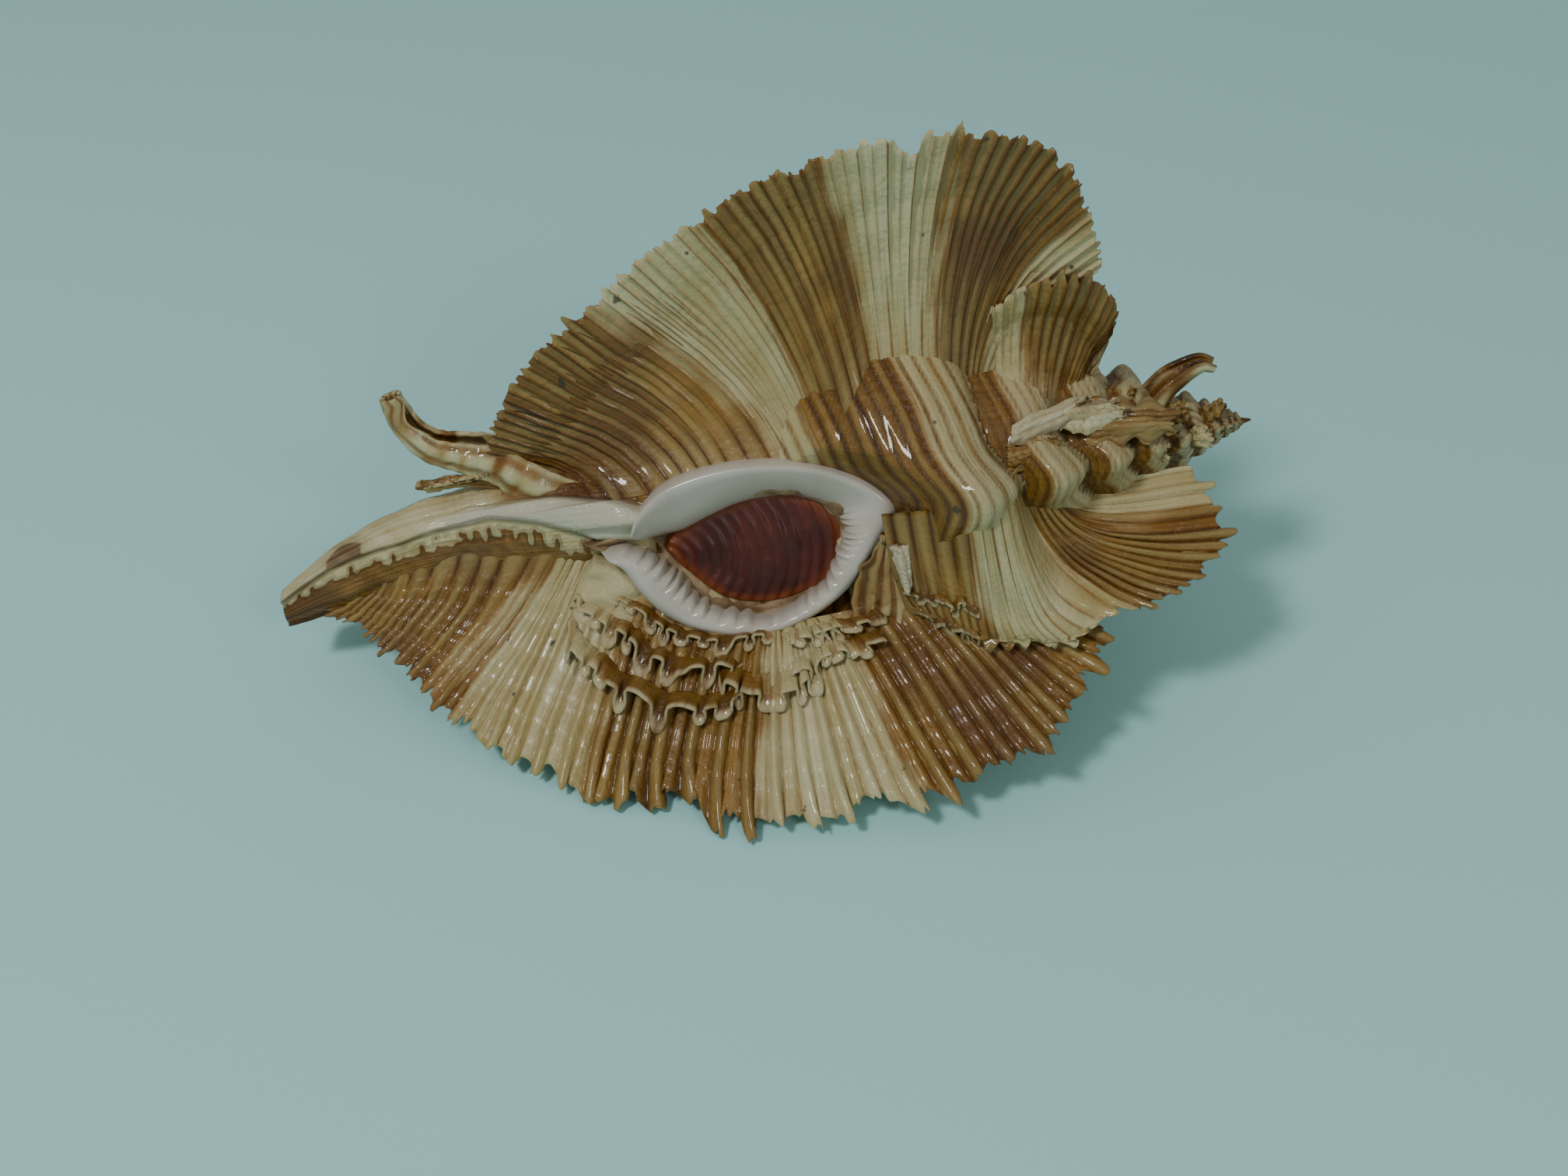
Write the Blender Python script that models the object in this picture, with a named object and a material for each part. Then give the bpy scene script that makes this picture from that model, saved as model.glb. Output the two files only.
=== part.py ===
"""A three-winged murex shell with its horny operculum, resting on two of its wings.

The shell is worked out in its own frame first. x runs along the coiling axis, from the end of
the siphonal canal (0) to the apex. Round that axis an azimuth of 90 degrees points up, and -30
degrees points to the front and down. The aperture faces about 24 degrees. The shell coils
towards rising azimuths, with a winged varix every 120 degrees, so the wings stand in three rows:
at -30 (the lip), at -150 (the back) and at 90 (the left).
"""

from math import log, pi, radians

import bpy
import numpy as np
from mathutils import Matrix

MM = 0.001

# Coil
AXIS_LENGTH = 72.0 * MM
WHORL_GROWTH = 1.38  # each whorl is this many times the size of the one before
LIP_AZIMUTH = -30.0
WHORLS = 9

# Where the shell rests: the coiling axis rises towards the apex, and the shell is rolled a little
AXIS_RISE = 8.41
AXIS_ROLL = -0.27
CANAL_END_AT = (-34.405 * MM, -0.731 * MM, 9.056 * MM)

# The last whorl from its suture to the canal's end: distance from the apex, and radius
WHORL_PROFILE = [
    (26.6, 8.6),
    (28.0, 11.2),
    (30.5, 13.0),
    (33.5, 13.5),
    (36.7, 13.0),
    (40.0, 11.4),
    (44.0, 8.4),
    (48.0, 6.0),
    (52.0, 4.7),
    (58.0, 3.7),
    (66.0, 3.0),
    (70.5, 2.3),
    (74.5, 1.2),
]
CANAL_CORE = 4.6 * MM  # the canal's radius where it runs in under the last whorl
CANAL_CORE_FROM = 46.0 * MM
SPIRE_CONE = 0.26  # least radius for each length below the apex

# Knobs, one between each two varices
KNOB_HEIGHT = 2.9 * MM
KNOB_WIDTH = 15.0
KNOB_DROP = 31.5 * MM

# The whorl's surface flares up into each varix, gently before it and steeply after it
FLARE_HEIGHT = 3.4 * MM
FLARE_BEFORE = 15.0
FLARE_AFTER = 5.0

# The end of the canal bends back
CANAL_BEND_FROM = 12.0 * MM
CANAL_BEND = 3.8 * MM
CANAL_BEND_TO = -50.0
CANAL_TIP = -2.5 * MM

# Mesh of the body
BODY_RINGS = 48
BODY_SIDES = 36

# The mouth is an oval collar on a plane square to its azimuth
MOUTH_AZIMUTH = 24.0
MOUTH_HEIGHT = 7.2 * MM
MOUTH_CENTRE = (35.0 * MM, -2.6 * MM)
MOUTH_HALF = (9.8 * MM, 6.3 * MM)
THROAT_CENTRE = (34.6 * MM, -2.8 * MM)
THROAT_HALF = (6.5 * MM, 4.3 * MM)
THROAT_DEPTH = 5.4 * MM
OPERCULUM_DEPTH = 2.6 * MM
OPERCULUM_THICK = 0.9 * MM
FIT_GAP = 0.3 * MM

# Wings: root (t = 0 at the canal end) and outer edge as distance along the axis and radius
LEFT_WING = {
    "azimuth": 90.0,
    "root": [(22.0, 2.5), (30.0, 4.0), (38.0, 6.0), (45.0, 8.4), (50.5, 8.0)],
    "edge": [
        (14.0, 4.6),
        (17.0, 9.0),
        (20.6, 13.8),
        (25.5, 17.4),
        (31.0, 21.2),
        (38.0, 24.8),
        (46.0, 27.0),
        (51.5, 27.2),
        (57.0, 25.4),
        (59.9, 21.5),
        (61.0, 15.4),
    ],
    "ribs": 28,
    "sway": -1.2,
}
LIP_WING = {
    "azimuth": -30.0,
    "root": [(4.0, 1.0), (16.0, 2.6), (25.0, 5.0), (34.0, 9.4), (42.0, 10.6), (45.5, 8.0)],
    "edge": [
        (0.6, 3.0),
        (4.8, 8.2),
        (9.4, 12.6),
        (14.2, 18.4),
        (20.6, 22.9),
        (28.3, 24.6),
        (36.7, 25.3),
        (45.1, 24.4),
        (51.5, 22.8),
        (54.6, 21.0),
        (58.4, 14.4),
    ],
    "ribs": 27,
    "sway": -0.4,
}
BACK_WING = {
    "azimuth": -150.0,
    "root": [(16.0, 2.4), (26.0, 4.2), (36.0, 7.4), (43.0, 9.6), (47.8, 8.0)],
    "edge": [
        (7.0, 3.6),
        (10.5, 10.0),
        (15.0, 18.0),
        (21.5, 23.0),
        (29.5, 24.8),
        (38.0, 26.2),
        (46.0, 27.2),
        (52.5, 26.2),
        (57.4, 22.4),
        (59.8, 15.6),
    ],
    "ribs": 27,
    "sway": -0.2,
}
RIGHT_WING = {
    "azimuth": -27.0,
    "root": [(46.0, 6.5), (50.0, 6.5), (54.0, 5.6), (57.5, 3.6)],
    "edge": [
        (49.6, 15.4),
        (56.6, 16.0),
        (60.8, 13.8),
        (66.4, 11.9),
        (68.2, 9.6),
        (67.6, 6.0),
        (66.4, 3.0),
    ],
    "ribs": 12,
    "sway": 0.8,
}
SMALL_LEFT_WING = {
    "azimuth": 90.0,
    "root": [(51.5, 6.4), (54.0, 6.0), (57.6, 4.2)],
    "edge": [(52.6, 12.2), (55.4, 14.8), (60.0, 14.2), (62.2, 10.8), (60.6, 6.8)],
    "ribs": 8,
    "sway": -0.5,
}
SMALL_BACK_WING = {
    "azimuth": -150.0,
    "root": [(49.5, 6.8), (53.0, 6.2), (56.8, 4.4)],
    "edge": [(51.0, 14.8), (56.0, 15.8), (61.4, 13.6), (64.6, 8.6), (63.4, 4.6)],
    "ribs": 9,
    "sway": -0.5,
}
SPIRE_FIN = {
    "azimuth": -27.0,
    "root": [(58.6, 3.4), (60.6, 3.0), (62.4, 2.0)],
    "edge": [(59.2, 6.2), (62.6, 6.4), (65.4, 4.8), (66.6, 2.4)],
    "ribs": 5,
    "sway": 0.2,
}
FRILL = {
    "azimuth": -23.0,
    "root": [(22.0, 3.4), (26.0, 6.2), (29.5, 9.2), (36.0, 10.4), (43.0, 8.4), (47.0, 8.0)],
    "edge": [
        (21.8, 11.4),
        (24.0, 14.9),
        (27.5, 18.6),
        (31.0, 19.8),
        (34.6, 19.2),
        (38.5, 17.0),
        (43.0, 15.8),
        (47.0, 14.0),
    ],
    "ribs": 13,
    "sway": 0.5,
}
WING_ROOT_THICK = 1.5 * MM
WING_EDGE_THICK = 0.8 * MM
RIB_HEIGHT = 0.35 * MM
TOOTH_LENGTH = 0.8 * MM
WING_ROWS = 3

# Broken ends of earlier canals and lips: path as distance along the axis, radius and azimuth
OLD_CANAL = [(19.0, 1.5, 90.0), (15.0, 5.0, 94.0), (12.5, 7.6, 96.0), (10.6, 9.2, 97.0), (8.7, 11.6, 98.0)]
OLD_CANAL_RADII = (2.2, 1.9, 1.5, 1.25, 1.0)
CURLED_SCALE = [(65.0, 1.2, 90.0), (66.4, 3.2, 92.0), (67.2, 5.2, 94.0), (68.2, 6.4, 95.0)]
CURLED_SCALE_RADII = (1.2, 1.1, 0.9, 0.6)
STUB_SIDES = 8

SHELL_COLOUR = (0.52, 0.34, 0.17, 1.0)
OPERCULUM_COLOUR = (0.16, 0.03, 0.02, 1.0)


def clear_scene():
    for obj in list(bpy.data.objects):
        bpy.data.objects.remove(obj)


def material(name, colour, roughness):
    made = bpy.data.materials.new(name)
    made.use_nodes = True
    shader = made.node_tree.nodes["Principled BSDF"]
    shader.inputs["Base Color"].default_value = colour
    shader.inputs["Roughness"].default_value = roughness
    shader.inputs["Metallic"].default_value = 0.0
    return made


def outward(azimuth):
    """Unit vectors square to the axis, pointing out at each azimuth in degrees."""
    angle = np.radians(azimuth)
    return np.stack([np.zeros_like(angle), -np.cos(angle), np.sin(angle)], -1)


def around(azimuth):
    """Unit vectors square to the axis, pointing towards rising azimuths."""
    angle = np.radians(azimuth)
    return np.stack([np.zeros_like(angle), np.sin(angle), np.cos(angle)], -1)


def place(along, radius, azimuth):
    """Points of the shell's frame from distance along the axis, radius and azimuth."""
    points = np.asarray(radius)[..., None] * outward(np.asarray(azimuth, float))
    points[..., 0] = along
    return points


def smooth_curve(knots, t):
    """A Catmull-Rom curve through evenly spaced knots, read at each t from 0 to 1."""
    knots = np.asarray(knots, float)
    padded = np.vstack([2 * knots[0] - knots[1], knots, 2 * knots[-1] - knots[-2]])
    at = np.clip(np.asarray(t), 0, 1) * (len(knots) - 1)
    first = np.minimum(at.astype(int), len(knots) - 2)
    f = (at - first)[..., None]
    a, b, c, d = (padded[first + step] for step in range(4))
    return 0.5 * (2 * b + (c - a) * f + (2 * a - 5 * b + 4 * c - d) * f**2 + (3 * b - 3 * c + d - a) * f**3)


def smoothstep(low, high, value):
    f = np.clip((value - low) / (high - low), 0, 1)
    return f * f * (3 - 2 * f)


def whorl_radius(drop):
    """Radius of a full-size whorl at a distance below the apex, 0 above its suture."""
    drops, radii = np.array(WHORL_PROFILE).T * MM
    return np.where(drop < drops[0], 0.0, np.interp(drop, drops, radii))


def body_radius(along, azimuth):
    """The outermost of all whorls, their knobs and the canal's core."""
    drop = AXIS_LENGTH - along
    below = np.minimum(whorl_radius(np.maximum(drop, CANAL_CORE_FROM)), CANAL_CORE)
    radius = np.minimum(below, SPIRE_CONE * drop)
    for turn in range(WHORLS):
        grown = (azimuth - LIP_AZIMUTH) % 360.0 - 360.0 * (turn + 1)
        scale = np.exp(log(WHORL_GROWTH) * grown / 360.0)
        local = drop / scale
        across = (grown + 60.0 + 60.0) % 120.0 - 60.0
        knob = KNOB_HEIGHT * np.exp(-((across / KNOB_WIDTH) ** 2))
        knob = knob * np.exp(-(((local - KNOB_DROP) / (4.5 * MM)) ** 2))
        before, after = (-grown) % 120.0, grown % 120.0
        flare = np.maximum(np.exp(-before / FLARE_BEFORE), np.exp(-after / FLARE_AFTER))
        flare = FLARE_HEIGHT * flare * smoothstep(48.0 * MM, 34.0 * MM, local)
        whorl = whorl_radius(local)
        radius = np.maximum(radius, scale * np.where(whorl > 0, whorl + knob + flare, 0.0))
    return radius


def canal_shift(along):
    """How far the canal's centre leaves the axis towards its end."""
    return CANAL_BEND * np.clip((CANAL_BEND_FROM - along) / (CANAL_BEND_FROM - CANAL_TIP), 0, 1) ** 1.6


def grid_mesh(name, grid):
    """A closed mesh from rings of points, with a fan over the first and the last ring."""
    rings, sides = grid.shape[:2]
    points = list(map(tuple, grid.reshape(-1, 3)))
    points += [tuple(grid[0].mean(0)), tuple(grid[-1].mean(0))]
    first, last = rings * sides, rings * sides + 1
    faces = []
    for ring in range(rings - 1):
        for side in range(sides):
            beside = (side + 1) % sides
            low, high = ring * sides, (ring + 1) * sides
            faces.append((low + side, low + beside, high + beside, high + side))
    for side in range(sides):
        beside = (side + 1) % sides
        faces.append((first, beside, side))
        top = (rings - 1) * sides
        faces.append((last, top + side, top + beside))
    mesh = bpy.data.meshes.new(name)
    mesh.from_pydata(points, [], faces)
    return mesh


def outward_object(name, mesh):
    """An object whose faces are turned to point out."""
    obj = bpy.data.objects.new(name, mesh)
    bpy.context.scene.collection.objects.link(obj)
    points = np.array([tuple(v.co) for v in mesh.vertices])
    mesh.calc_loop_triangles()
    corners = points[np.array([tuple(t.vertices) for t in mesh.loop_triangles])]
    if np.linalg.det(corners).sum() < 0:
        mesh.flip_normals()
    return obj


def body():
    """The whorls and the canal as one surface round the axis."""
    share = np.linspace(0, 1, BODY_RINGS)
    along = CANAL_TIP + (AXIS_LENGTH - 0.2 * MM - CANAL_TIP) * share
    azimuth = LIP_AZIMUTH + np.arange(BODY_SIDES) * 360.0 / BODY_SIDES
    u, phi = np.meshgrid(along, azimuth, indexing="ij")
    grid = place(u, body_radius(u, phi), phi)
    grid += canal_shift(u)[..., None] * outward(np.full_like(u, CANAL_BEND_TO))
    return outward_object("body", grid_mesh("body", grid))


def wing(name, shape, columns_per_rib=2):
    """A fluted plate that stands on the body at one azimuth, with a toothed outer edge."""
    columns = shape["ribs"] * columns_per_rib + 1
    t = np.linspace(0, 1, columns)
    v = np.linspace(0, 1, WING_ROWS)
    root = smooth_curve(shape["root"], t) * MM
    edge = smooth_curve(shape["edge"], t) * MM
    tooth = np.where(np.arange(columns) % columns_per_rib == 0, 1.0, 0.0)
    ray = edge - root
    ray_length = np.linalg.norm(ray, axis=1, keepdims=True)
    edge = edge + ray / ray_length * TOOTH_LENGTH * (tooth - 0.5)[:, None]
    flat = root[:, None] + (edge - root)[:, None] * v[None, :, None]
    flute = RIB_HEIGHT * (2 * tooth - 1)[:, None] * v[None, :]
    lean = shape["sway"] * MM * v[None, :] ** 2 + flute
    half = 0.5 * (WING_ROOT_THICK + (WING_EDGE_THICK - WING_ROOT_THICK) * v)[None, :]
    sheets = []
    for side in (1.0, -1.0):
        points = place(flat[..., 0], flat[..., 1], np.full(flat.shape[:2], shape["azimuth"]))
        points += (lean + side * half)[..., None] * around(shape["azimuth"])
        sheets.append(points)
    count = columns * WING_ROWS
    front = np.arange(count).reshape(columns, WING_ROWS)
    back = front + count
    faces = []
    for i in range(columns - 1):
        for j in range(WING_ROWS - 1):
            faces.append((front[i, j], front[i + 1, j], front[i + 1, j + 1], front[i, j + 1]))
            faces.append((back[i, j], back[i, j + 1], back[i + 1, j + 1], back[i + 1, j]))
        for j in (0, WING_ROWS - 1):
            rim = (front[i, j], back[i, j], back[i + 1, j], front[i + 1, j])
            faces.append(rim if j == 0 else rim[::-1])
    for j in range(WING_ROWS - 1):
        for i in (0, columns - 1):
            rim = (front[i, j], front[i, j + 1], back[i, j + 1], back[i, j])
            faces.append(rim if i == 0 else rim[::-1])
    mesh = bpy.data.meshes.new(name)
    points = np.concatenate([sheet.reshape(-1, 3) for sheet in sheets])
    mesh.from_pydata(list(map(tuple, points)), [], [tuple(map(int, face)) for face in faces])
    return outward_object(name, mesh)


def stub(name, path, radii):
    """A tapering tube along a path of (distance along the axis, radius, azimuth)."""
    path = np.array(path, float)
    centres = place(path[:, 0] * MM, path[:, 1] * MM, path[:, 2])
    along = np.gradient(centres, axis=0)
    along /= np.linalg.norm(along, axis=1, keepdims=True)
    across = np.cross(along, around(path[:, 2]))
    across /= np.linalg.norm(across, axis=1, keepdims=True)
    beside = np.cross(along, across)
    turn = np.arange(STUB_SIDES) * 2 * pi / STUB_SIDES
    circle = across[:, None] * np.cos(turn)[None, :, None] + beside[:, None] * np.sin(turn)[None, :, None]
    grid = centres[:, None] + circle * (np.array(radii) * MM)[:, None, None]
    return outward_object(name, grid_mesh(name, grid))


def mouth_point(u, t, height):
    """A point of the mouth's own frame: along the axis, across the mouth, and out of it."""
    azimuth = np.float64(MOUTH_AZIMUTH)
    points = t[..., None] * around(azimuth) + height[..., None] * outward(azimuth)
    points[..., 0] = u
    return points


def mouth_rings(name, centre, rings, sides=24):
    """Ovals stacked along the mouth's direction: (half length, half width, height) for each."""
    turn = np.arange(sides) * 2 * pi / sides
    sizes = np.array(rings)
    u = centre[0] + sizes[:, :1] * np.cos(turn)
    t = centre[1] + sizes[:, 1:2] * np.sin(turn)
    height = np.broadcast_to(sizes[:, 2:], u.shape)
    return outward_object(name, grid_mesh(name, mouth_point(u, t, height)))


def mouth_collar():
    long, wide = MOUTH_HALF
    rings = [
        (long - 1.0 * MM, wide - 1.0 * MM, MOUTH_HEIGHT - 7.5 * MM),
        (long + 0.2 * MM, wide + 0.4 * MM, MOUTH_HEIGHT - 2.6 * MM),
        (long, wide, MOUTH_HEIGHT - 1.0 * MM),
        (long - 1.1 * MM, wide - 0.9 * MM, MOUTH_HEIGHT),
        (long - 2.2 * MM, wide - 1.6 * MM, MOUTH_HEIGHT - 0.2 * MM),
    ]
    return mouth_rings("mouth_collar", MOUTH_CENTRE, rings)


def throat():
    long, wide = THROAT_HALF
    rings = [
        (long - 1.6 * MM, wide - 1.4 * MM, MOUTH_HEIGHT - THROAT_DEPTH),
        (long - 0.5 * MM, wide - 0.4 * MM, MOUTH_HEIGHT - THROAT_DEPTH + 1.0 * MM),
        (long, wide, MOUTH_HEIGHT - 1.2 * MM),
        (long + 1.2 * MM, wide + 0.9 * MM, MOUTH_HEIGHT + 0.4 * MM),
        (long + 1.6 * MM, wide + 1.2 * MM, MOUTH_HEIGHT + 3.0 * MM),
    ]
    return mouth_rings("throat", THROAT_CENTRE, rings)


def operculum():
    """A thin domed oval plate that lies in the throat, a little below the rim."""
    long, wide = THROAT_HALF[0] - 0.5 * MM - FIT_GAP, THROAT_HALF[1] - 0.4 * MM - FIT_GAP
    top = MOUTH_HEIGHT - OPERCULUM_DEPTH
    rings = [
        (0.5 * long, 0.5 * wide, top - OPERCULUM_THICK),
        (0.96 * long, 0.96 * wide, top - OPERCULUM_THICK),
        (long, wide, top - 0.5 * OPERCULUM_THICK),
        (0.85 * long, 0.85 * wide, top + 0.1 * MM),
        (0.45 * long, 0.45 * wide, top + 0.45 * MM),
    ]
    return mouth_rings("operculum", THROAT_CENTRE, rings)


def combine(target, other, operation):
    """Adds other to the target, or cuts it away, and hides it as a helper."""
    other.hide_render = True
    other.display_type = "WIRE"
    modifier = target.modifiers.new(other.name, "BOOLEAN")
    modifier.operation = operation
    modifier.object = other
    modifier.solver = "EXACT"


def rest_matrix():
    """From the shell's frame to where it rests, its origin under the middle of its bounding box."""
    turn = Matrix.Rotation(radians(-AXIS_RISE), 4, "Y") @ Matrix.Rotation(radians(AXIS_ROLL), 4, "X")
    return Matrix.Translation(CANAL_END_AT) @ turn


def main():
    clear_scene()
    shell = body()
    shell.name = "shell"
    wings = {
        "left_wing": LEFT_WING,
        "lip_wing": LIP_WING,
        "back_wing": BACK_WING,
        "right_wing": RIGHT_WING,
        "small_left_wing": SMALL_LEFT_WING,
        "small_back_wing": SMALL_BACK_WING,
        "spire_fin": SPIRE_FIN,
        "frill": FRILL,
    }
    added = [wing(name, shape) for name, shape in wings.items()]
    added.append(stub("old_canal", OLD_CANAL, OLD_CANAL_RADII))
    added.append(stub("curled_scale", CURLED_SCALE, CURLED_SCALE_RADII))
    collar = mouth_collar()
    cutter = throat()
    lid = operculum()
    shell.data.materials.append(material("shell", SHELL_COLOUR, 0.35))
    lid.data.materials.append(material("operculum", OPERCULUM_COLOUR, 0.4))
    combine(shell, collar, "UNION")
    combine(shell, cutter, "DIFFERENCE")
    for obj in added:
        combine(shell, obj, "UNION")
    for obj in [shell, lid, collar, cutter, *added]:
        obj.matrix_world = rest_matrix()
    for obj in (shell, lid):
        obj.data.shade_smooth()


main()
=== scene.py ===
# %% [markdown]
# A three-winged murex shell, lying on two of its wings and a knob, with its mouth towards us.
#
# Every surface is worked out in the shell's own frame, in millimetres: u runs along the coiling axis
# from the end of the canal to the apex, and round it an azimuth of 90 degrees points up, and -30
# degrees to the front and down. The last step turns each finished surface to where the shell rests.

import bpy
import numpy as np
from mathutils import Matrix, Vector


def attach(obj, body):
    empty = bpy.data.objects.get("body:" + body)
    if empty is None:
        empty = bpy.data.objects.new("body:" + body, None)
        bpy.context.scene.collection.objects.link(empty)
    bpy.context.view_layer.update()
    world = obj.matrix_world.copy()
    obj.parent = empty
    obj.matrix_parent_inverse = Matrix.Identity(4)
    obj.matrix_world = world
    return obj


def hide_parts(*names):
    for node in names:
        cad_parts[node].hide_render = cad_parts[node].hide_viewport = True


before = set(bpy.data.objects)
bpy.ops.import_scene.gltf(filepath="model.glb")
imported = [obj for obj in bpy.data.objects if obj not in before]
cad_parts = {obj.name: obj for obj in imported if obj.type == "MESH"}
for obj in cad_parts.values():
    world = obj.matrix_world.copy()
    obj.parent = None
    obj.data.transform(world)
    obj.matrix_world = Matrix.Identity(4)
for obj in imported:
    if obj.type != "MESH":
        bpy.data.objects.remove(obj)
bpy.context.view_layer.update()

# %% [markdown]
# The numbers shared with the CAD model: how the shell coils, and how it rests.

# %%
# Main dimensions, in millimetres and degrees
AXIS = 72.0
GROWTH = 1.38  # how much larger the shell is after each turn
TURNS = 10
LIP = -30.0  # azimuth of the newest wing, beside the mouth
LEFT_AT, BACK_AT, RIGHT_AT = 90.0, -150.0, -27.0  # azimuths of the older wings
WING_STEP = 120.0  # growth from one wing to the next
AXIS_RISE, AXIS_ROLL = 8.41, -0.27
CANAL_END_AT = (-34.405, -0.731, 9.056)
PROFILE = [  # (distance below the apex, radius) on the last whorl
    (24.4, 8.6), (25.6, 11.2), (27.8, 13.0), (31.2, 13.4), (35.7, 12.9), (40.0, 11.3), (44.0, 8.4),
    (48.0, 6.0), (52.0, 4.7), (58.0, 3.7), (66.0, 3.0), (70.5, 2.3), (74.5, 1.2),
]
FLARE, FLARE_BEFORE, FLARE_AFTER = 1.8, 14.0, 5.0  # rise at each wing, and its run in degrees
KNOB, KNOB_AT, KNOB_WIDTH, KNOB_DROP, KNOB_LENGTH = 4.2, -8.0, 17.0, 28.4, 4.2
LOBE = 2.1  # how far the seam waves; each wave has a place between two wings and a width
LOBES = [(-8.0, 12.0), (-39.0, 11.0)]
BEND_FROM, BEND, BEND_TO, CANAL_TIP = 12.0, 3.8, -50.0, -2.5
MOUTH = 24.0  # azimuth the mouth looks to
MOUTH_HEIGHT = 7.0  # height of its rim over the axis
REST = (
    Matrix.Translation(Vector(CANAL_END_AT) * 0.001)
    @ Matrix.Rotation(np.radians(-AXIS_RISE), 4, "Y")
    @ Matrix.Rotation(np.radians(AXIS_ROLL), 4, "X")
)

# %% [markdown]
# Small tools: directions round the axis, smooth curves, and soft noise made of a few sine waves.


# %%
# Points and curves
def outward(azimuth):
    """Unit vectors (0, -cos a, sin a), square to the axis."""
    a = np.radians(azimuth)
    return np.stack([np.zeros_like(a), -np.cos(a), np.sin(a)], -1)


def around(azimuth):
    """Unit vectors (0, sin a, cos a), towards rising azimuths."""
    a = np.radians(azimuth)
    return np.stack([np.zeros_like(a), np.sin(a), np.cos(a)], -1)


def place(u, r, azimuth):
    """Points (u, -r cos a, r sin a)."""
    u, r, azimuth = np.broadcast_arrays(*(np.asarray(x, float) for x in (u, r, azimuth)))
    points = r[..., None] * outward(azimuth)
    points[..., 0] = u
    return points


def curve(knots, s):
    """Catmull-Rom curve through evenly spaced rows of knots, read at each s from 0 to 1."""
    knots = np.asarray(knots, float)
    rows = np.vstack([2 * knots[0] - knots[1], knots, 2 * knots[-1] - knots[-2]])
    at = np.clip(s, 0, 1) * (len(knots) - 1)
    i = np.minimum(at.astype(int), len(knots) - 2)
    f = (at - i)[..., None]
    a, b, c, d = (rows[i + k] for k in range(4))
    return 0.5 * (2 * b + (c - a) * f + (2 * a - 5 * b + 4 * c - d) * f**2 + (3 * b - 3 * c + d - a) * f**3)


def step(low, high, x):
    """Smooth step 3f^2 - 2f^3 from 0 at low to 1 at high."""
    f = np.clip((x - low) / (high - low), 0, 1)
    return f * f * (3 - 2 * f)


def hump(x, middle, width):
    """A bell exp(-((x - middle) / width)^2), 1 at its middle."""
    return np.exp(-(((x - middle) / width) ** 2))


def waves(x, y, seed, count=7):
    """Soft noise of about -1 to 1: the mean of sine waves of mixed directions and lengths."""
    r = np.random.default_rng(seed)
    total = 0.0
    for _ in range(count):
        kx, ky = r.normal(size=2)
        total = total + np.sin(kx * x + ky * y + r.uniform(0, 2 * np.pi))
    return total / np.sqrt(count)


# %% [markdown]
# One way to make every mesh: a grid of points whose rows close on themselves like rings. Numbers
# that the materials read, such as the colour band, are kept with each point.


# %%
# Meshes
def solid(name, grid, material, ends="fan", **marks):
    """A closed mesh from a (rings, sides, 3) grid in shell millimetres, marked with point attributes."""
    rings, sides = grid.shape[:2]
    points = grid.reshape(-1, 3)
    index = np.arange(rings * sides).reshape(rings, sides)
    low, high = index[:-1], index[1:]
    quads = np.stack([low, np.roll(low, -1, 1), np.roll(high, -1, 1), high], -1).reshape(-1, 4)
    faces = [quads]
    marks = {key: np.broadcast_to(value, (rings, sides)).reshape(-1) for key, value in marks.items()}
    if ends == "fan":
        tips = np.stack([grid[0].mean(0), grid[-1].mean(0)])
        points = np.vstack([points, tips])
        at = rings * sides
        first = np.stack([np.full(sides, at), np.roll(index[0], -1), index[0]], -1)
        last = np.stack([np.full(sides, at + 1), index[-1], np.roll(index[-1], -1)], -1)
        faces += [first, last]
        marks = {
            key: np.append(value, [value[:sides].mean(), value[-sides:].mean()])
            for key, value in marks.items()
        }
    else:
        for ring, flip in ((index[0], 1), (index[-1], 0)):
            half = sides // 2
            near, far = ring[:half], ring[::-1][:half]
            strip = np.stack([near[:-1], far[:-1], far[1:], near[1:]], -1)
            faces.append(strip if flip else strip[:, ::-1])
            if sides % 2:
                faces.append(np.array([[near[-1], far[-1], ring[half]]])[:, :: 1 if flip else -1])
    mesh = bpy.data.meshes.new(name)
    all_faces = [tuple(face) for block in faces for face in block.tolist()]
    mesh.from_pydata(points * 0.001, [], all_faces)
    mesh.transform(REST)
    at_rest = np.empty(3 * len(points))
    mesh.vertices.foreach_get("co", at_rest)
    at_rest[2::3] = np.maximum(at_rest[2::3], 0.00002)
    mesh.vertices.foreach_set("co", at_rest)
    corner = points[quads]
    volume = np.einsum("ij,ij->i", corner[:, 0], np.cross(corner[:, 1], corner[:, 2])).sum()
    volume += np.einsum("ij,ij->i", corner[:, 0], np.cross(corner[:, 2], corner[:, 3])).sum()
    if volume < 0:
        mesh.flip_normals()
    for key, value in marks.items():
        mesh.attributes.new(key, "FLOAT", "POINT").data.foreach_set("value", value.astype(np.float32))
    mesh.shade_smooth()
    mesh.materials.append(material)
    piece = bpy.data.objects.new(name, mesh)
    bpy.context.scene.collection.objects.link(piece)
    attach(piece, "root")
    return piece


def shell_piece(name, grid, material, **more):
    piece = solid(name, grid, material, **more)
    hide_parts("shell")
    mesh = piece.data
    mesh.calc_loop_triangles()
    print(f"{name}: {len(mesh.loop_triangles)} triangles")
    return piece


# %%
# Thin sheets
def two_sided(points, thick):
    """Both faces of a thin sheet: each point plus and minus half the thickness along its normal."""
    normal = np.cross(np.gradient(points, axis=0), np.gradient(points, axis=1))
    normal /= np.linalg.norm(normal, axis=2, keepdims=True) + 1e-9
    half = np.broadcast_to(0.5 * np.asarray(thick), points.shape[:2])[..., None] * normal
    return np.concatenate([points + half, (points - half)[:, ::-1]], 1)


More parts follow.
